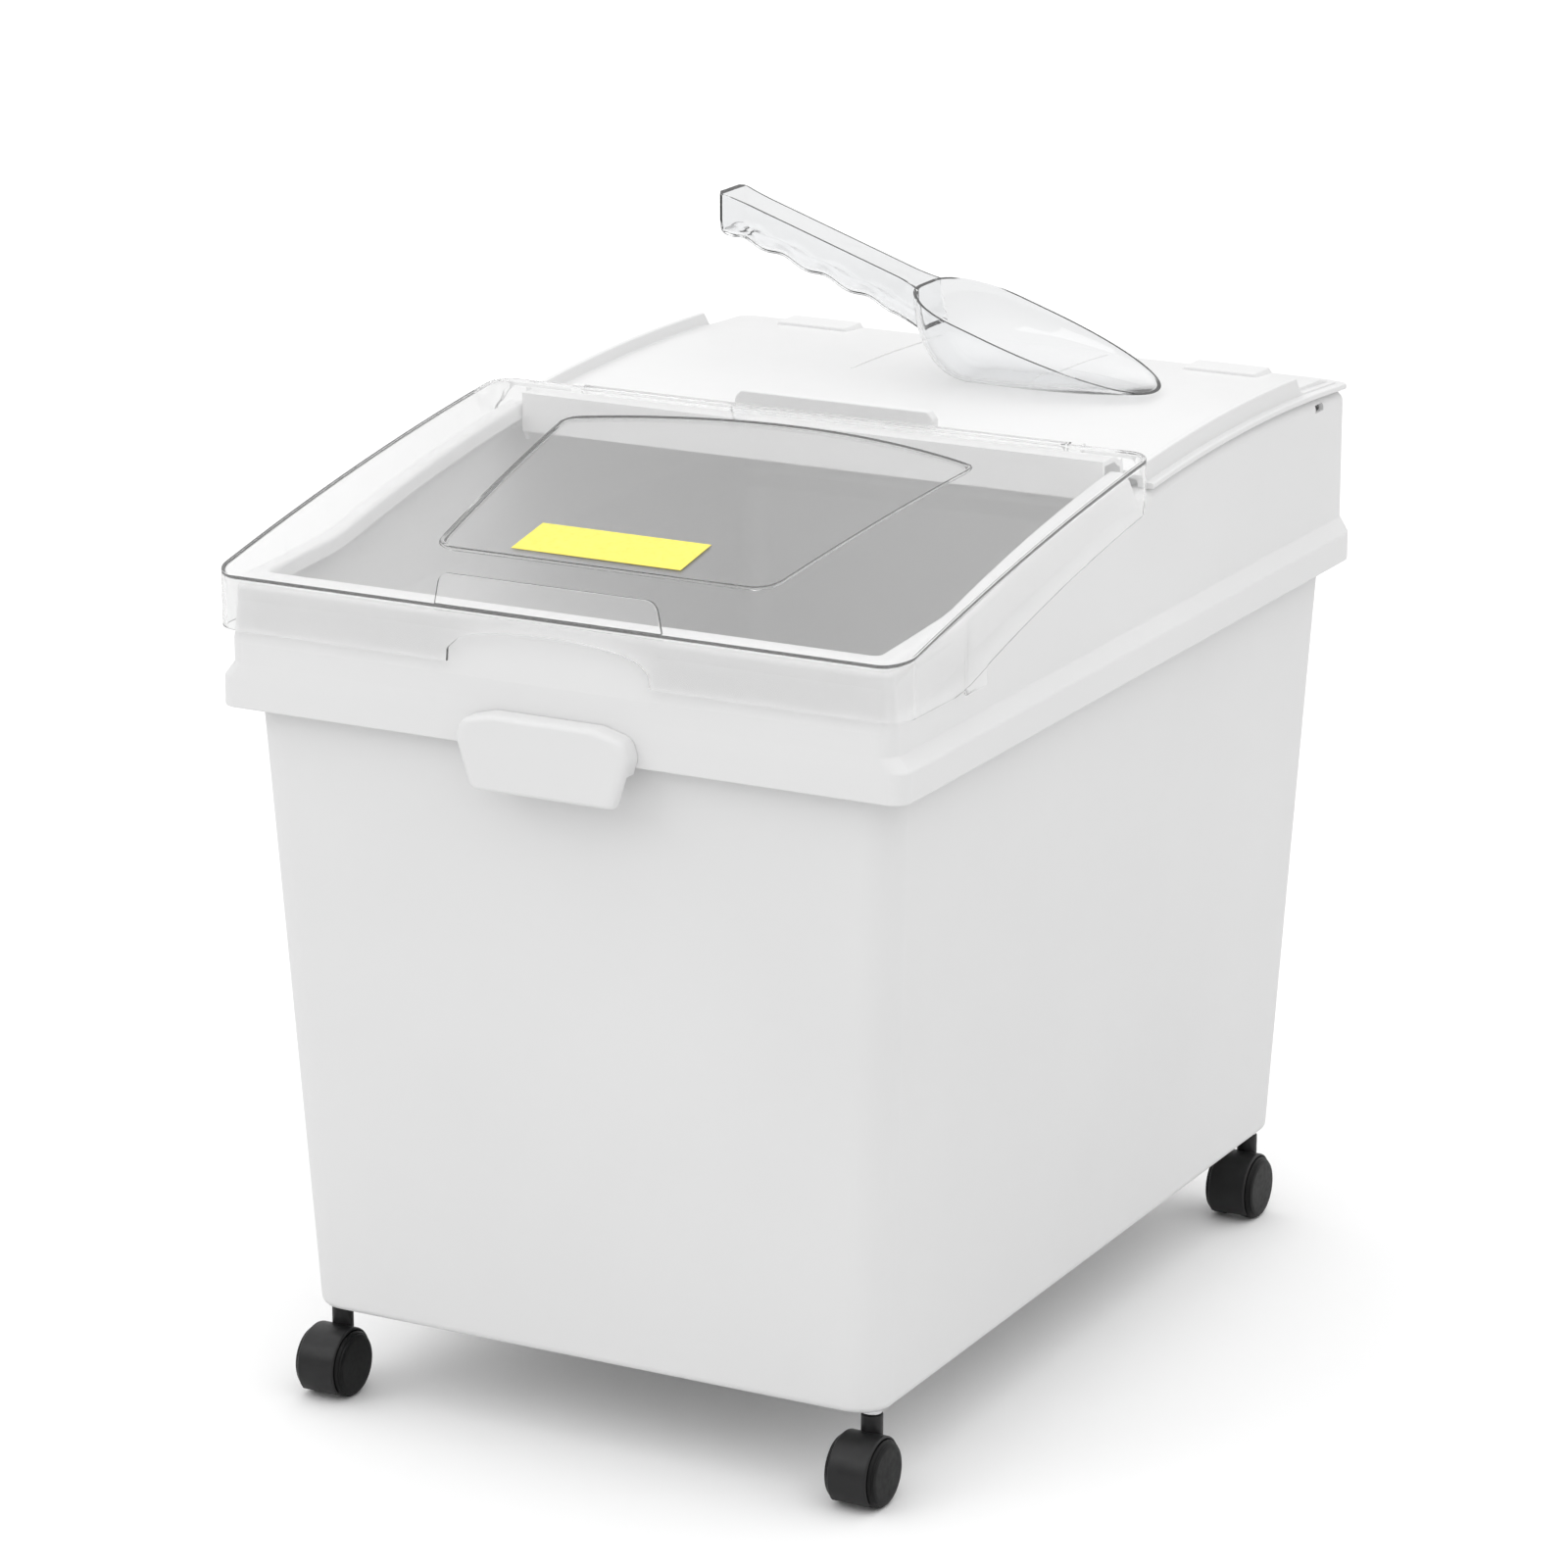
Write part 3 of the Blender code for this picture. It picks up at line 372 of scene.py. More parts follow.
def ramp(tree, source, stops):
    """A colour ramp from (position, colour) stops. A colour may be a number."""
    made = tree.nodes.new("ShaderNodeValToRGB")
    elements = made.color_ramp.elements
    while len(elements) < len(stops):
        elements.new(0.5)
    for element, (position, colour) in zip(elements, stops):
        element.position = position
        element.color = (colour,) * 3 + (1,) if isinstance(colour, (int, float)) else (*colour, 1)
    tree.links.new(source, made.inputs["Fac"])
    return made.outputs["Color"]


def mottle(tree, shader, socket, scale, detail, stops):
    """Noise of one scale, turned into a socket's colour or value by a ramp."""
    tree.links.new(ramp(tree, noise(tree, scale, detail), stops), shader.inputs[socket])


def bump(tree, sources, target):
    """Adds each (height, strength, distance) in turn to the target's normal."""
    last = None
    for height, strength, distance in sources:
        made = tree.nodes.new("ShaderNodeBump")
        made.inputs["Strength"].default_value = strength
        made.inputs["Distance"].default_value = distance
        tree.links.new(height, made.inputs["Height"])
        if last is not None:
            tree.links.new(last, made.inputs["Normal"])
        last = made.outputs["Normal"]
    tree.links.new(last, target.inputs["Normal"])


def white_plastic():
    """Satin moulded plastic with a faint mottle and fine grain."""
    made, tree, shader = new_material("white_plastic_look")
    mottle(tree, shader, "Base Color", 6.0, 2.0, [(0.3, 0.80), (0.7, 0.82)])
    mottle(tree, shader, "Roughness", 60.0, 4.0, [(0.35, 0.34), (0.65, 0.40)])
    shader.inputs["Specular IOR Level"].default_value = 0.42
    bump(tree, [(noise(tree, 9.0, 1.0), 0.10, 0.0015), (noise(tree, 900.0, 2.0), 0.05, 0.0002)], shader)
    return made


def clear_plastic(name, tint, roughness=0.02, shadow=0.96, clarity=1.0):
    """Clear moulded plastic: refracting to the eye, and letting lamps through. Its haze is 1 less clarity."""
    made, tree, shader = new_material(name)
    shader.inputs["Base Color"].default_value = (*tint, 1)
    shader.inputs["Transmission Weight"].default_value = clarity
    shader.inputs["IOR"].default_value = 1.49
    mottle(tree, shader, "Roughness", 45.0, 3.0, [(0.40, roughness), (0.75, roughness + 0.03)])
    bump(tree, [(noise(tree, 22.0, 1.0), 0.04, 0.0004)], shader)
    lets = tree.nodes.new("ShaderNodeBsdfTransparent")
    lets.inputs["Color"].default_value = (shadow, shadow, shadow, 1)
    path = tree.nodes.new("ShaderNodeLightPath")
    mix = tree.nodes.new("ShaderNodeMixShader")
    tree.links.new(path.outputs["Is Shadow Ray"], mix.inputs["Fac"])
    tree.links.new(shader.outputs["BSDF"], mix.inputs[1])
    tree.links.new(lets.outputs["BSDF"], mix.inputs[2])
    tree.links.new(mix.outputs["Shader"], tree.nodes["Material Output"].inputs["Surface"])
    return made


def black_plastic(name, base, roughness, grain, gloss):
    """Satin black plastic with a fine grain."""
    made, tree, shader = new_material(name)
    low = tuple(c * 0.85 for c in base)
    high = tuple(c * 1.25 for c in base)
    mottle(tree, shader, "Base Color", 120.0, 3.0, [(0.3, low), (0.7, high)])
    shader.inputs["Specular IOR Level"].default_value = gloss
    mottle(tree, shader, "Roughness", 300.0, 3.0, [(0.3, roughness), (0.7, roughness + 0.12)])
    bump(tree, [(noise(tree, 1800.0, 2.0), grain, 0.0002)], shader)
    return made


def plated_steel():
    made, tree, shader = new_material("plated_steel_look")
    mottle(tree, shader, "Base Color", 150.0, 3.0, [(0.3, (0.62, 0.62, 0.63)), (0.7, (0.74, 0.74, 0.75))])
    shader.inputs["Metallic"].default_value = 1.0
    mottle(tree, shader, "Roughness", 700.0, 3.0, [(0.3, 0.12), (0.7, 0.22)])
    bump(tree, [(noise(tree, 1500.0, 2.0), 0.04, 0.0001)], shader)
    return made


def yellow_label():
    """Plain yellow sticker paper."""
    made, tree, shader = new_material("yellow_label_look")
    mottle(tree, shader, "Base Color", 300.0, 4.0, [(0.3, (0.96, 0.80, 0.11)), (0.7, (1.0, 0.87, 0.15))])
    mottle(tree, shader, "Roughness", 700.0, 3.0, [(0.3, 0.42), (0.7, 0.55)])
    bump(tree, [(noise(tree, 1200.0, 3.0), 0.06, 0.0001)], shader)
    return made


WHITE = white_plastic()
CLEAR = clear_plastic("clear_lid_look", (1.0, 1.0, 1.0), shadow=0.985, clarity=0.965)
SCOOP = clear_plastic("clear_scoop_look", (0.97, 0.975, 0.98), 0.035)
HOUSING = black_plastic("black_nylon_look", (0.012, 0.012, 0.0125), 0.30, 0.08, 0.36)
TREAD = black_plastic("wheel_plastic_look", (0.004, 0.004, 0.0042), 0.34, 0.06, 0.20)
STEEL = plated_steel()
LABEL = yellow_label()


# Bin body

def tub_ring(share, inside, height):
    """A ring on the tapered tub, from its floor at share 0 to its top at 1, drawn in by inside."""
    half = TUB_FLOOR_HALF + (TUB_TOP_HALF - TUB_FLOOR_HALF) * share - inside
    inset = TUB_FLOOR_INSET + (TUB_TOP_INSET - TUB_FLOOR_INSET) * share + inside
    return rounded_ring(half, FRONT_Y + inset, REAR_Y - inset, max(TUB_CORNER - inside, 0.002), height)


def hood_ring(inside, height):
    corner = max(HOOD_CORNER - inside, INNER_CORNER)
    return rounded_ring(HOOD_HALF - inside, HOOD_FRONT_Y + inside, HOOD_REAR_Y - inside, corner, height)


def skirt_ring(inside, height):
    half, front, rear = SKIRT_HALF - inside, FRONT_Y + inside, REAR_Y - inside
    return rounded_ring(half, front, rear, SKIRT_FRONT_CORNER - inside, height, SKIRT_REAR_CORNER - inside)


def bin_body():
    """The tub's inside, over the rolled rim, down the hood, ledge and skirt, and down the tub's outside."""
    roll = HOOD_HALF - RIM_OPENING_HALF

    def roll_under(y):
        return rim_top_z(y) - ROLL_THICK

    def roll_lip(y):
        return rim_top_z(y) - ROLL_LIP

    rings = [
        (tub_ring(0.0, WALL, TUB_FLOOR_Z + WALL), 0.006),
        (tub_ring(1.0, WALL, SKIRT_BOTTOM_Z), 0.004),
        (hood_ring(WALL, LEDGE_INNER_Z), 0.004),
        (hood_ring(WALL, roll_under), 0.004),
        (hood_ring(roll - WALL, roll_under), 0.0015),
        (hood_ring(roll - WALL, roll_lip), 0.0008),
        (hood_ring(roll, roll_lip), 0.0008),
        (hood_ring(roll, rim_top_z), 0.0032),
        (hood_ring(0.0045, rim_top_z), 0.0065),
        (hood_ring(0.0, lambda y: shoulder_z(y) - 0.002), 0.006),
        (hood_ring(0.0, LEDGE_INNER_Z), 0.0022),
        (skirt_ring(0.0, LEDGE_OUTER_Z), 0.0030),
        (skirt_ring(0.0, SKIRT_BOTTOM_Z), 0.0012),
        (skirt_ring(WALL, SKIRT_BOTTOM_Z), 0.0008),
        (skirt_ring(WALL, LEDGE_OUTER_Z - 0.003), 0.002),
        (tub_ring(1.045, -GAP, LEDGE_OUTER_Z - 0.003), 0.002),
        (tub_ring(0.0, 0.0, TUB_FLOOR_Z), 0.0055),
    ]
    floor_in = (tub_ring(0.0, WALL + 0.010, TUB_FLOOR_Z + WALL), 0)
    floor_out = (tub_ring(0.0, 0.010, TUB_FLOOR_Z), 0)
    body = loft("bin_shell", filleted_rings([floor_in, *rings, floor_out], 5))
    return combine("bin_shell", combine("bin_shell", body, bosses(), "UNION"), body_cuts(), "DIFFERENCE")


def bosses():
    """The four bosses that hold the caster sockets, standing on the tub's floor."""
    made = []
    for x, y in caster_places():
        base = TUB_FLOOR_Z + 0.001
        profile = [(0, base), (BOSS_RADIUS, base), (BOSS_RADIUS, BOSS_TOP_Z), (0, BOSS_TOP_Z)]
        made.append(turned("boss", profile, (x, y, 0), "Z", 40, [0, 0, 0.0012, 0]))
    return made


def side_box(name, side, x, y, z):
    """A box between pairs of limits, with x measured outwards on one side of the bin."""
    low_x, high_x = sorted((side * x[0], side * x[1]))
    return box(name, (low_x, y[0], z[0]), (high_x, y[1], z[1]))


def body_cuts():
    """Clip windows in the hood, slots in the rim for the rear lid's tabs, and the bosses' stepped bores."""
    cuts = []
    window_x = (HOOD_HALF - WINDOW_REACH, HOOD_HALF + WINDOW_REACH)
    for side in (-1, 1):
        cuts.append(side_box("window", side, window_x, WINDOW_Y, WINDOW_Z))
        cuts.append(side_box("slot", side, TAB_SLOT_X, TAB_SLOT_Y, TAB_SLOT_Z))
    low, seat, top = TUB_FLOOR_Z - 0.01, TUB_FLOOR_Z + FLANGE_THICK + GAP, BOSS_TOP_Z - 0.003
    wide, narrow = FLANGE_RADIUS + GAP, SOCKET_RADIUS + GAP
    for x, y in caster_places():
        profile = [(0, low), (wide, low), (wide, seat), (narrow, seat), (narrow, top), (0, top)]
        cuts.append(turned("bore", profile, (x, y, 0), "Z", 40))
    return cuts


def grip():
    """The pull on the front of the skirt: a softly cushioned plate whose lower lip hangs free."""
    control = [(-0.0445, 0.3870), (0.0445, 0.3870), (0.0535, 0.4150), (0.0505, 0.4255), (0.0330, 0.4302),
               (-0.0330, 0.4302), (-0.0505, 0.4255), (-0.0535, 0.4150)]
    radii = [0.006, 0.006, 0.010, 0.012, 0.02, 0.02, 0.012, 0.010]
    path = fillet([Vector((x, 0, z)) for x, z in control], radii, 6)
    middle = Vector((0, 0, 0.4085))

    def ring(inset, y):
        out = []
        for point in path:
            away = point - middle
            out.append(middle + away * (1 - inset / max(away.length, 1e-6)) + Vector((0, y, 0)))
        return out

    front = FRONT_Y - 0.0117
    cushion = [(0.0, 0.0040), (0.0005, 0.0024), (0.0016, 0.0011), (0.0034, 0.0003), (0.0060, 0.0)]
    rings = [ring(0.0, FRONT_Y - GAP)] + [ring(inset, front + back) for inset, back in cushion]
    shell = loft("grip_shell", rings)
    low, high = (-0.0505, FRONT_Y - 0.0075, 0.380), (0.0505, FRONT_Y + 0.01, SKIRT_BOTTOM_Z - 0.001)
    return combine("grip_shell", shell, [box("grip_hollow", low, high)], "DIFFERENCE")


# Rear lid

REAR_LID_SIDES = stations(0.0300, 0.258, (0.032, 0.2350, 0.2410))


def rear_lid_ring(half, rear, height, corner=REAR_LID_CORNER):
    """An open ring: front right, round the rear, to front left."""
    right = [(half, y) for y in (REAR_LID_FRONT_Y, *REAR_LID_SIDES)]
    return mirrored(right + corner_points(half, rear - corner, corner, 0), height)


def lid_edge_z(y):
    return arc_z(y, SHOULDER_APEX_Z + 0.0035)


def plate_z(y):
    return arc_z(y, PLATE_APEX_Z)


def strip_z(y):
    """The raised strip's height, which falls to the lid's edge past its pointed rear tip."""
    fall = min(1.0, max(0.0, (y - STRIP_Y[1]) / 0.006))
    return arc_z(y, STRIP_APEX_Z) * (1 - fall) + (lid_edge_z(y) + 0.0012) * fall


def seat_z(y):
    return arc_z(y, SHOULDER_APEX_Z) + GAP


def rear_lid():
    """Curved plate with raised side strips, rear lugs, a hinge seat and ears, and snap tabs."""
    half, rear = REAR_LID_HALF, REAR_LID_REAR_Y
    rings = [
        (rear_lid_ring(0.1925, 0.2945, lambda y: plate_z(y) - PLATE_THICK, 0.008), 0),
        (rear_lid_ring(0.1935, 0.2955, seat_z, 0.008), 0.0005),
        (rear_lid_ring(half, rear, seat_z), 0.0006),
        (rear_lid_ring(half, rear, lid_edge_z), 0.0014),
        (rear_lid_ring(STRIP_OUTER, 0.3010, lid_edge_z), 0.0006),
        (rear_lid_ring(STRIP_OUTER, 0.3010, strip_z), 0.0012),
        (rear_lid_ring(STRIP_INNER, 0.2975, strip_z), 0.0012),
        (rear_lid_ring(STRIP_INNER - 0.0004, 0.2860, lambda y: plate_z(y) - 0.0002), 0.0012),
        (rear_lid_ring(STRIP_INNER - 0.006, 0.2780, lambda y: plate_z(y) - 0.0002), 0),
    ]
    shell = open_loft("rear_lid_shell", filleted_rings(rings, 3))
    return combine("rear_lid_shell", shell, rear_lid_additions(), "UNION")


def hinge_beam():
    """The cross beam that carries the clear lid's barrel, with a round hollow for it."""
    front = REAR_LID_FRONT_Y
    top = arc_z(front, PLATE_APEX_Z)
    seat = BARREL_RADIUS + 0.0006
    hollow = [(HINGE_Y + seat * math.cos(math.radians(a)), HINGE_Z + seat * math.sin(math.radians(a)))
              for a in range(-45, -166, -10)]
    lip_z = hollow[-1][1]
    beam = [(front + 0.002, top - 0.0003), (front, top - 0.0003), *hollow, (-0.004, lip_z), (-0.004, 0.5050),
            (-0.0015, 0.5050), (-0.0015, 0.5245), (0.0110, 0.5245), (0.0148, 0.5221), (0.0185, 0.5205),
            (0.0195, 0.5130), (front + 0.002, 0.5130)]
    return prism("beam", beam, -0.1860, 0.1860, "X")


def rounded_prism(name, control, radii, low, high, edge):
    """A prism along Y from an outline of (x, z) points with round corners."""
    path = fillet([Vector((x, z, 0)) for x, z in control], radii, 4)
    return prism(name, [(p.x, p.y) for p in path], low, high, "Y", edge)


def stop_bump():
    """The raised bump behind the hinge, which stops the open lid."""
    control = [(0.0640, 0.5160), (0.0640, 0.5325), (0.0600, 0.5372)]
    control += [(-x, z) for x, z in reversed(control)]
    return rounded_prism("stop", control, [0, 0.004, 0.004, 0.004, 0.004, 0], 0.0297, 0.0368, 0.0012)


def rib(x):
    """A fine raised line on the plate, from front to rear."""
    front, rear, half = 0.165, 0.276, 0.0009
    outline = [(front, plate_z(front) - 0.001), (rear, plate_z(rear) - 0.001), (rear, plate_z(rear) + 0.0001)]
    outline += [(y, plate_z(y) + 0.0004) for y in (0.272, 0.250, 0.225, 0.200, 0.180)]
    outline.append((front, plate_z(front) + 0.00005))
    return prism("rib", outline, x - half, x + half, "X")


def rear_lid_additions():
    """What is joined to the plate: the beam, the stop, and each side's lug, rib, tab and hinge ear."""
    added = [hinge_beam(), stop_bump()]
    for side in (-1, 1):
        tab = side_box("tab_leg", side, TAB_X, TAB_Y, TAB_Z)
        added += [lug(side * LUG_X), rib(side * RIB_X), tab, hinge_ear(side)]
    return added


def lug(x):
    """A low block near the rear edge, with sloping ends and round upper edges."""
    control = [(x - 0.0260, 0.5190), (x + 0.0260, 0.5190), (x + 0.0230, 0.5235), (x - 0.0230, 0.5235)]
    return rounded_prism("lug", control, [0, 0, 0.0015, 0.0015], 0.2642, 0.2858, 0.0010)


def hinge_ear(side):
    """A round-topped ear that holds one of the barrel's end pins."""
    x_near, x_far = sorted((side * (BARREL_HALF + 0.0012), side * (PIN_END + 0.0012)))
    outer = PIN_RADIUS + 0.0018
    outline = []
    for step in range(17):
        angle = math.radians(200 - 220 * step / 16)
        outline.append((HINGE_Y + outer * math.cos(angle), HINGE_Z + outer * math.sin(angle)))
    outline += [(HINGE_Y + outer, 0.5205), (HINGE_Y - outer, 0.5205)]
    ear = prism("ear", outline, x_near, x_far, "X", 0.0006)
    hole = rod("hole", PIN_RADIUS + GAP, x_near - 0.002, x_far + 0.002, (0, HINGE_Y, HINGE_Z), "X", 32)
    return combine("ear", ear, [hole], "DIFFERENCE")


# Clear lid

COVER_SIDES = stations(-0.272, -0.010)


def cover_ring(inside, height):
    """A closed ring on the clear lid's edge: round front corners, then tighter round rear corners."""
    half, front, rear = LID_HALF - inside, LID_FRONT_Y + inside, LID_REAR_Y - inside
    return rounded_ring(half, front, rear, LID_CORNER - inside, height, LID_REAR_CORNER - inside, COVER_SIDES)


def cover_skirt_z(y):
    """The skirt's lower edge, which rises round the rear corners and ends under the hinge's edge."""
    rise = min(1.0, max(0.0, (y + 0.002) / 0.006))
    low = lid_skirt_z(y) * (1 - rise) + 0.5180 * rise
    close = min(1.0, max(0.0, (y - 0.0050) / 0.0042))
    close = close * close * (3 - 2 * close)
    return low * (1 - close) + (lid_top_z(y) - LID_THICK - 0.0004) * close


def lid_shell():
    """The curved top with a fine bead round it and a turned-down edge, which ends at the hinge."""
    def under_z(y):
        return lid_top_z(y) - LID_THICK

    def bead_z(y):
        return lid_top_z(y) + LID_BEAD

    rings = [
        (cover_ring(LID_THICK + 0.006, under_z), 0),
        (cover_ring(LID_THICK, under_z), 0.0010),
        (cover_ring(LID_THICK, cover_skirt_z), 0.0004),
        (cover_ring(0.0, cover_skirt_z), 0.0006),
        (cover_ring(0.0, bead_z), 0.0010),
        (cover_ring(0.0021, bead_z), 0),
        (cover_ring(0.0024, lid_top_z), 0),
        (cover_ring(0.0060, lid_top_z), 0),
    ]
    return loft("cover_shell", filleted_rings(rings, 5), curved=True)


def pull_outline():
    """The upright finger pull seen from the front."""
    base_z = lid_top_z(LID_FRONT_Y) - 0.003
    foot = PULL_HALF + 0.004
    control = [(foot, base_z), (PULL_HALF, PULL_TOP_Z), (-PULL_HALF, PULL_TOP_Z), (-foot, base_z)]
    path = fillet([Vector((x, z, 0)) for x, z in control], [0, 0.008, 0.008, 0], 8)
    return [(p.x, p.y) for p in path]


def arch_outline():
    """The arched cut-out in the front skirt: steep feet, then a shallow arc."""
    half, low, foot, spring, crown = 0.0625, LID_FRONT_BOTTOM_Z - 0.005, 0.4615, 0.4625, 0.4745
    points = [Vector((half, low, 0)), Vector((half - 0.001, foot, 0))]
    for step in range(1, 20):
        angle = math.pi * step / 20
        rise = (crown - spring) * math.sin(angle) ** 0.85
        points.append(Vector((math.cos(angle) * (half - 0.004), spring + rise, 0)))
    points += [Vector((0.001 - half, foot, 0)), Vector((-half, low, 0))]
    path = fillet(points, [0, 0.003] + [0] * 19 + [0.003, 0], 4)
    return [(p.x, p.y) for p in path]


def hinge_barrel():
    """The barrel with its thinner end pins."""
    end = [(0, PIN_END), (PIN_RADIUS, PIN_END), (PIN_RADIUS, BARREL_HALF), (BARREL_RADIUS, BARREL_HALF)]
    profile = [(radius, -along) for radius, along in end] + end[::-1]
    return turned("barrel", profile, (0, HINGE_Y, HINGE_Z), "X", 40)


def hinge_neck():
    """The strip that joins the lid's rear edge to the barrel."""
    start = LID_REAR_Y - 0.0015
    top = lid_top_z(start)
    outline = [(start, top - 0.0002), (start, top - LID_THICK + 0.0003), (HINGE_Y - 0.0030, HINGE_Z),
               (HINGE_Y, HINGE_Z), (HINGE_Y, HINGE_Z + BARREL_RADIUS - 0.0002)]
    return prism("neck", outline, 0.001 - BARREL_HALF, BARREL_HALF - 0.001, "X")


def panel_solid(name, *steps):
    """A solid through the panel's outline at each (outset, lift)."""
    return loft(name, [panel_ring(outset, lift) for outset, lift in steps], curved=True)


def clear_lid():
    """The flip lid with its hinge, pull and clips, an arched cut-out and a sunk panel inside a fine bead."""
    base = panel_solid("panel_base", (0.0012, -LID_THICK - 0.0009), (0.0021, -LID_THICK + 0.0004))
    bead = panel_solid("panel_bead", (0.0014, -0.0005), (0.0014, 0.0), (0.0010, LID_BEAD),
                       (-0.0010, LID_BEAD))
    pull = prism("pull", pull_outline(), LID_FRONT_Y + 0.0004, LID_FRONT_Y + 0.0026, "Y", 0.0006)
    added = [pull, hinge_barrel(), hinge_neck(), base, bead, lid_clip(-1), lid_clip(1)]
    lid = combine("clear_cover", lid_shell(), added, "UNION")
    arch = prism("arch", arch_outline(), LID_FRONT_Y - 0.005, LID_FRONT_Y + 0.006, "Y")
    sunk = panel_solid("panel", (-0.0016, -PANEL_DEPTH), (-0.0012, -PANEL_DEPTH + 0.0001), (0.0, LID_BEAD),
                       (0.004, 0.004))
    return combine("clear_cover", lid, [arch, sunk], "DIFFERENCE")


def lid_clip(side):
    """A low pad with sloping edges on the lid's side, which snaps over the hood."""
    rings = []
    for out, inset in ((-0.0015, 0.0), (0.0, 0.0), (0.0008, 0.0018)):
        low_y, high_y = CLIP_Y[0] + inset, CLIP_Y[1] - inset
        low_z, high_z = CLIP_Z[0] + inset, CLIP_Z[1] - inset
        corners = ((low_y, low_z), (high_y, low_z), (high_y, high_z), (low_y, high_z))
        rings.append([Vector((side * (LID_HALF + out), y, z)) for y, z in corners])
    return loft("clip", rings)


def panel_ring(outset, lift):
    """The sunk panel's outline: it widens to a bowed rear edge, with round corners."""
    front, rear = PANEL_Y[0] - outset, PANEL_Y[1] + outset
    half_front, half_rear = PANEL_FRONT_HALF + outset, PANEL_REAR_HALF + outset
    corner_y = rear - PANEL_REAR_BOW * half_rear ** 2
    side_shares = [0.15, 0.25, 0.35, 0.45, 0.55, 0.65, 0.75, 0.85]
    rear_shares = [0.87, 0.78, 0.69, 0.60, 0.51, 0.42, 0.33, 0.24, 0.15, 0.06]
    control = [(0.004, front), (half_front, front)]
    control += [(half_front + (half_rear - half_front) * share, front + (corner_y - front) * share)
                for share in side_shares]
    control.append((half_rear, corner_y))
    control += [(x, rear - PANEL_REAR_BOW * x ** 2) for x in [half_rear * share for share in rear_shares]]
    radii = [0, 0.016] + [0] * len(side_shares) + [0.012] + [0] * len(rear_shares)
    right = fillet([Vector((x, y, 0)) for x, y in control], radii, 8)
    outline = right + [Vector((-p.x, p.y, 0)) for p in reversed(right)]
    return [Vector((PANEL_X + p.x, p.y, lid_top_z(p.y) + lift)) for p in outline]


def label():
    """A thin sheet that follows the panel's curve."""
    low_x, high_x, front, rear, thick = -0.0655, 0.0395, -0.2220, -0.1875, 0.00025
    points = []
    steps_x, steps_y = 12, 6
    for lift in (GAP, GAP + thick):
        for j in range(steps_y + 1):
            y = front + (rear - front) * j / steps_y
            for i in range(steps_x + 1):
                x = low_x + (high_x - low_x) * i / steps_x
                points.append(Vector((x, y, lid_top_z(y) - PANEL_DEPTH + lift)))
    count_x = steps_x + 1
    layer = count_x * (steps_y + 1)
    faces = []
    for base in (0, layer):
        for j in range(steps_y):
            for i in range(steps_x):
                a = base + j * count_x + i
                faces.append((a, a + 1, a + 1 + count_x, a + count_x))
    edge = list(range(count_x))
    edge += [j * count_x + steps_x for j in range(1, steps_y + 1)]
    edge += [steps_y * count_x + i for i in range(steps_x - 1, -1, -1)]
    edge += [j * count_x for j in range(steps_y - 1, 0, -1)]
    for a, b in zip(edge, edge[1:] + edge[:1]):
        faces.append((a, b, b + layer, a + layer))
    return mesh_of("label_sheet", points, faces)


# Casters

def caster_places():
    return [(x, y) for y in CASTER_Y for x in (-CASTER_X, CASTER_X)]


def housing(x, y):
    """The hooded housing with a flared neck, bored for its stem and axle."""
    axle_y = y - TRAIL
    centre = (x, axle_y, WHEEL_RADIUS)
    outline = []
    for step in range(57):
        angle = math.radians(24 + 197 * step / 56)
        across, up = HOUSING_RADIUS * math.cos(angle), HOUSING_RADIUS * math.sin(angle)
        outline.append((axle_y + across, WHEEL_RADIUS + up))
    outline += [(axle_y - 0.0080, 0.0045), (axle_y + 0.0010, 0.0045), (axle_y + 0.0050, 0.0110)]
    hood = prism("hood", outline, x - 0.0118, x + 0.0118, "X", 0.0012)
    neck_profile = [(0, 0.0300), (NECK_RADIUS, 0.0300), (NECK_RADIUS, NECK_TOP_Z), (0, NECK_TOP_Z)]
    neck = turned("neck", neck_profile, (x, y, 0), "Z", 40, [0, 0, 0.0007, 0])
    solid = combine("housing_solid", hood, [neck], "UNION")
    cuts = []
    for side in (-1, 1):
        start, end = sorted((side * 0.0045, side * 0.0300))
        cuts.append(rod("clear", HOUSING_CLEARANCE, start, end, centre, "X", 72))
    cuts.append(rod("stem_bore", STEM_RADIUS + GAP, 0.0375, 0.06, (x, y, 0), "Z", 32))
    cuts.append(rod("axle_bore", AXLE_RADIUS + GAP, -0.03, 0.03, centre, "X", 32))
    return combine("housing", solid, cuts, "DIFFERENCE")


def wheel(x, y, side):
    """One wheel: a tread with round shoulders and a flat outer disc inside a fine groove."""
    near, far, radius = WHEEL_INNER_X, WHEEL_OUTER_X, WHEEL_RADIUS
    bore, groove = AXLE_RADIUS + GAP, far - 0.0016
    profile = [(0, groove), (bore, groove), (bore, near), (radius, near), (radius, far - 0.0030),
               (radius - 0.0009, groove), (radius - 0.0014, groove), (radius - 0.0018, far - 0.0006),
               (radius * 0.80, far - 0.0001), (0, far)]
    radii = [0, 0.0003, 0.0003, 0.0012, 0.0010, 0.0003, 0.0002, 0.0006, 0.006, 0]
    return turned("wheel", [(r, side * a) for r, a in profile], (x, y - TRAIL, WHEEL_RADIUS), "X", 72, radii)


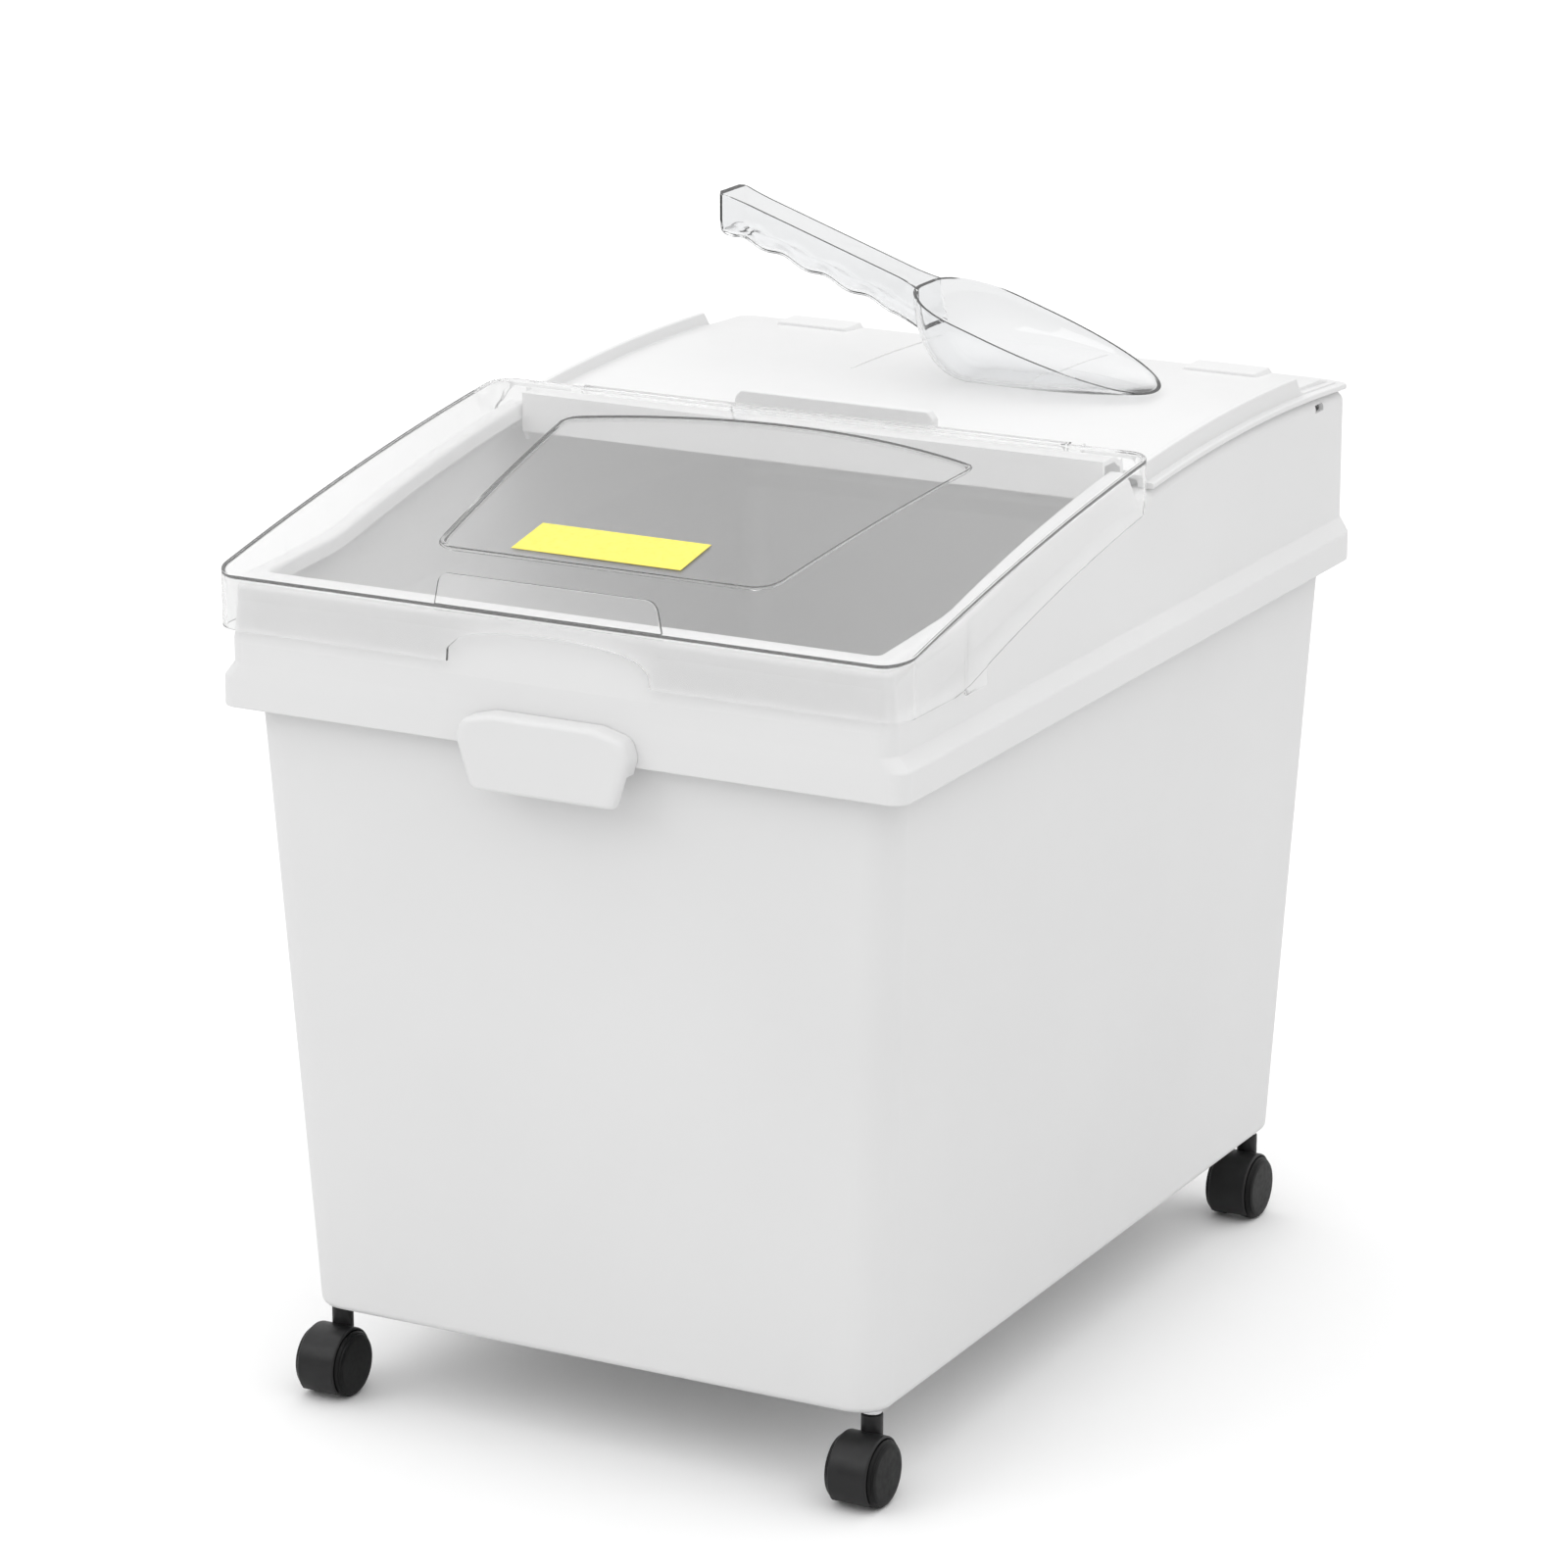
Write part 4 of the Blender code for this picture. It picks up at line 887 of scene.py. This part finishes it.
def stem(x, y):
    """A stem with a collar above the housing and a groove for its grip ring."""
    radius, collar, groove = STEM_RADIUS, 0.0056, 0.0033
    profile = [(0, 0.0380), (radius, 0.0380), (radius, 0.0490), (collar, 0.0490), (collar, 0.0518),
               (radius, 0.0518), (radius, 0.0735), (groove, 0.0742), (groove, 0.0757), (radius, 0.0764),
               (0.0030, 0.0790), (0, 0.0795)]
    radii = [0, 0.0005, 0.0002, 0.0007, 0.0007, 0.0002, 0.0003, 0.0002, 0.0002, 0.0003, 0.0008, 0]
    return turned("stem", profile, (x, y, 0), "Z", 40, radii)


def socket(x, y):
    """The flanged sleeve in the tub's boss."""
    inner = STEM_RADIUS + GAP
    flange_top = TUB_FLOOR_Z + FLANGE_THICK
    profile = [(inner, TUB_FLOOR_Z), (FLANGE_RADIUS, TUB_FLOOR_Z), (FLANGE_RADIUS, flange_top),
               (SOCKET_RADIUS, flange_top), (SOCKET_RADIUS, 0.0805), (inner, 0.0805)]
    return turned("socket", profile, (x, y, 0), "Z", 40, [0.0003, 0.0003, 0.0003, 0, 0.0003, 0.0003])


def add_casters():
    """The pieces of all four casters. The plain axles stay CAD nodes and get the steel."""
    names = ("caster_front_left", "caster_front_right", "caster_rear_left", "caster_rear_right")
    for name, (x, y) in zip(names, caster_places()):
        piece(name + "_fork", housing(x, y), HOUSING, name, "black_nylon", name + "_housing")
        piece(name + "_pin", stem(x, y), STEEL, "bin", "plated_steel", name + "_stem")
        piece(name + "_sleeve", socket(x, y), STEEL, "bin", "plated_steel", name + "_socket")
        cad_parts[name + "_axle"].data.materials[0] = STEEL
        for side, side_name in ((-1, "left"), (1, "right")):
            node = name + "_wheel_" + side_name
            piece(name + "_roller_" + side_name, wheel(x, y, side), TREAD, node, "wheel_plastic", node)


# Scoop, modelled with its mouth towards +Y and its floor at 0

def scoop_rim_z(y):
    return SCOOP_BACK_Z - SCOOP_SLOPE * y


def scoop_ring(inset, height):
    """A closed outline seen from above: round back corners and a rounded tip, drawn in by inset."""
    half = SCOOP_HALF - inset
    corner = SCOOP_BACK_CORNER - inset
    right = []
    for step in range(CORNER_STEPS + 1):
        angle = math.radians(-90 + 90 * step / CORNER_STEPS)
        right.append((half - corner + corner * math.cos(angle), inset + corner + corner * math.sin(angle)))
    straight = SCOOP_TIP_START - SCOOP_BACK_CORNER
    right += [(half, SCOOP_BACK_CORNER + straight * step / 4) for step in (1, 2, 3)]
    tip = SCOOP_LENGTH - SCOOP_TIP_START - inset
    for step in range(24):
        angle = math.radians(90 * step / 24)
        right.append((half * math.cos(angle) ** 0.92, SCOOP_TIP_START + tip * math.sin(angle)))
    outline = right + [(0.0, SCOOP_LENGTH - inset)] + [(-x, y) for x, y in reversed(right)]
    return [Vector((x, y, height(y))) for x, y in outline]


def scoop_rings(wall):
    """Rings from the flat bottom up to the rim of the bowl's outside, or of its inside when wall is given."""
    radius = SCOOP_BOTTOM_RADIUS - wall
    rings = []
    for step in range(17):
        angle = math.radians(90 * step / 16)
        share = 1 - math.cos(angle)
        rings.append(scoop_ring(wall + radius * (1 - math.sin(angle)),
                                lambda y: wall + (scoop_rim_z(y) - wall) * share))
    return rings


def handle_rows(inside, start, end):
    """Sections of the handle's channel: its top edges follow the rim's plane, and its underside is waved."""
    rows = []
    for step in range(81):
        share = step / 80
        y = start + (end - start) * share
        along = -y / HANDLE_LENGTH
        flare = HANDLE_FLARE * max(0.0, (along - 0.82) / 0.18) ** 2
        root = HANDLE_ROOT * max(0.0, 1 - (along + 0.05) / 0.16) ** 2 if along > -0.05 else HANDLE_ROOT
        half = HANDLE_HALF + flare + root - inside
        fade = min(1.0, max(0.0, (along - 0.08) / 0.08)) * min(1.0, max(0.0, (0.95 - along) / 0.08))
        turn = 2 * math.pi * (along - FINGER_START) * FINGER_COUNT
        wave = FINGER_DEPTH - fade * FINGER_DEPTH * (1 - math.cos(turn))
        top = scoop_rim_z(y) + (0.004 if inside else 0.0)
        low = scoop_rim_z(y) - HANDLE_DEPTH - wave + inside
        right = [(half - 0.0015, low), (half, low + 0.008), (half, top)]
        control = [(-half + 0.0015, low), *right, (-half, top), (-half, low + 0.008)]
        round_top = 0 if inside else 0.0008
        radii = [0.006 - inside, 0.006 - inside, 0.004, round_top, round_top, 0.004]
        rows.append(fillet([Vector((x, y, z)) for x, z in control], radii, 5))
    return rows


def handle_end_fade(rows):
    """Rounds the handle's far end by drawing its last sections in."""
    depth = 0.005
    last = rows[-1][0].y
    for row in rows:
        past = (depth - (row[0].y - last)) / depth
        if past <= 0:
            continue
        shrink = 1 - 0.30 * (1 - math.sqrt(max(0.0, 1 - past ** 2)))
        middle = sum(row, Vector()) / len(row)
        for point in row:
            point.x = middle.x + (point.x - middle.x) * shrink
            if point.z < middle.z:
                point.z = middle.z + (point.z - middle.z) * shrink
    return rows


def scoop_mesh():
    """The bowl and its channelled handle, then turned and laid on the rear lid."""
    outside = loft("outside", scoop_rings(0.0))
    handle = loft("handle", handle_end_fade(handle_rows(0.0, 0.010, -HANDLE_LENGTH)))
    body = combine("scoop_solid", outside, [handle], "UNION")
    top = scoop_rings(SCOOP_WALL)[-1]
    hollow = loft("hollow", scoop_rings(SCOOP_WALL) + [[p + Vector((0, 0, 0.02)) for p in top]])
    channel = loft("channel", handle_rows(SCOOP_WALL, 0.012, 0.003 - HANDLE_LENGTH))
    channel = combine("channel", channel, [loft("back", scoop_rings(0.0))], "DIFFERENCE")
    slot = box("slot", (-0.0065, -0.1235, 0.02), (0.0065, -0.1165, 0.12))
    made = combine("scoop", body, [hollow, channel, slot], "DIFFERENCE")
    made.transform(Matrix.Rotation(-math.pi / 2, 4, "Z"))
    made.transform(Matrix.Translation((*SCOOP_PLACE, PLATE_APEX_Z + GAP)))
    return made


# Stage

def camera_ray(tree):
    """1 for what the camera sees directly, 0 for light that bounces."""
    return tree.nodes.new("ShaderNodeLightPath").outputs["Is Camera Ray"]


def build_stage():
    """A wide white floor, a little darker to bounced light."""
    mesh = bpy.data.meshes.new("floor")
    half = 14.0
    corners = [(-half, -half, 0), (half, -half, 0), (half, half, 0), (-half, half, 0)]
    mesh.from_pydata(corners, [], [(0, 1, 2, 3)])
    floor = bpy.data.objects.new("floor", mesh)
    bpy.context.scene.collection.objects.link(floor)
    paint, tree, shader = new_material("floor_look")
    tree.links.new(ramp(tree, camera_ray(tree), [(0.0, 0.76), (1.0, 0.99)]), shader.inputs["Base Color"])
    shader.inputs["Roughness"].default_value = 0.8
    shader.inputs["Specular IOR Level"].default_value = 0.2
    mesh.materials.append(paint)


def area_light(name, place, aim, size, power):
    data = bpy.data.lights.new(name, "AREA")
    data.shape = "RECTANGLE"
    data.size, data.size_y = size
    data.energy = power
    obj = bpy.data.objects.new(name, data)
    bpy.context.scene.collection.objects.link(obj)
    obj.location = place
    obj.rotation_euler = (Vector(aim) - Vector(place)).to_track_quat("-Z", "Y").to_euler()


def build_lights():
    """A surround that is brightest overhead and looks plain white, with a soft key from the front left."""
    world = bpy.data.worlds.new("studio")
    bpy.context.scene.world = world
    world.use_nodes = True
    tree = world.node_tree
    place = tree.nodes.new("ShaderNodeTexCoord")
    split = tree.nodes.new("ShaderNodeSeparateXYZ")
    tree.links.new(place.outputs["Generated"], split.inputs["Vector"])
    sky = ramp(tree, split.outputs["Z"], [(0.0, 0.34), (0.30, 0.58), (0.62, 0.98), (1.0, 1.08)])
    white = tree.nodes.new("ShaderNodeMath")
    white.operation = "MAXIMUM"
    tree.links.new(sky, white.inputs[0])
    tree.links.new(camera_ray(tree), white.inputs[1])
    tree.links.new(white.outputs["Value"], tree.nodes["Background"].inputs["Color"])
    tree.nodes["Background"].inputs["Strength"].default_value = 1.28
    area_light("key", (-2.2, -3.2, 2.6), (0, 0, 0.3), (2.0, 2.0), 12)
    bpy.context.scene.view_settings.view_transform = "Standard"


def build_camera():
    """A long lens from the front right, a little above the lid."""
    data = bpy.data.cameras.new("camera")
    data.sensor_width = 36.0
    data.lens = CAMERA_LENS
    camera = bpy.data.objects.new("camera", data)
    bpy.context.scene.collection.objects.link(camera)
    yaw, pitch = math.radians(CAMERA_YAW), math.radians(CAMERA_PITCH)
    forward = Vector((-math.sin(yaw) * math.cos(pitch), math.cos(yaw) * math.cos(pitch), -math.sin(pitch)))
    camera.location = CAMERA_PLACE
    camera.rotation_euler = forward.to_track_quat("-Z", "Y").to_euler()
    bpy.context.scene.camera = camera


build_camera()
build_stage()
build_lights()
piece("bin_shell", bin_body(), WHITE, "bin", "white_plastic", "bin_body")
piece("grip_shell", grip(), WHITE, "bin", "white_plastic", "front_grip")
piece("rear_lid_shell", rear_lid(), WHITE, "rear_lid", "white_plastic", "rear_lid")
piece("clear_cover", clear_lid(), CLEAR, "clear_lid", "clear_plastic", "clear_lid")
piece("label_sheet", label(), LABEL, "clear_lid", "yellow_label", "label")
add_casters()
piece("scoop_shell", scoop_mesh(), SCOOP, "scoop", "scoop_plastic", "scoop", bevel=0.0005)
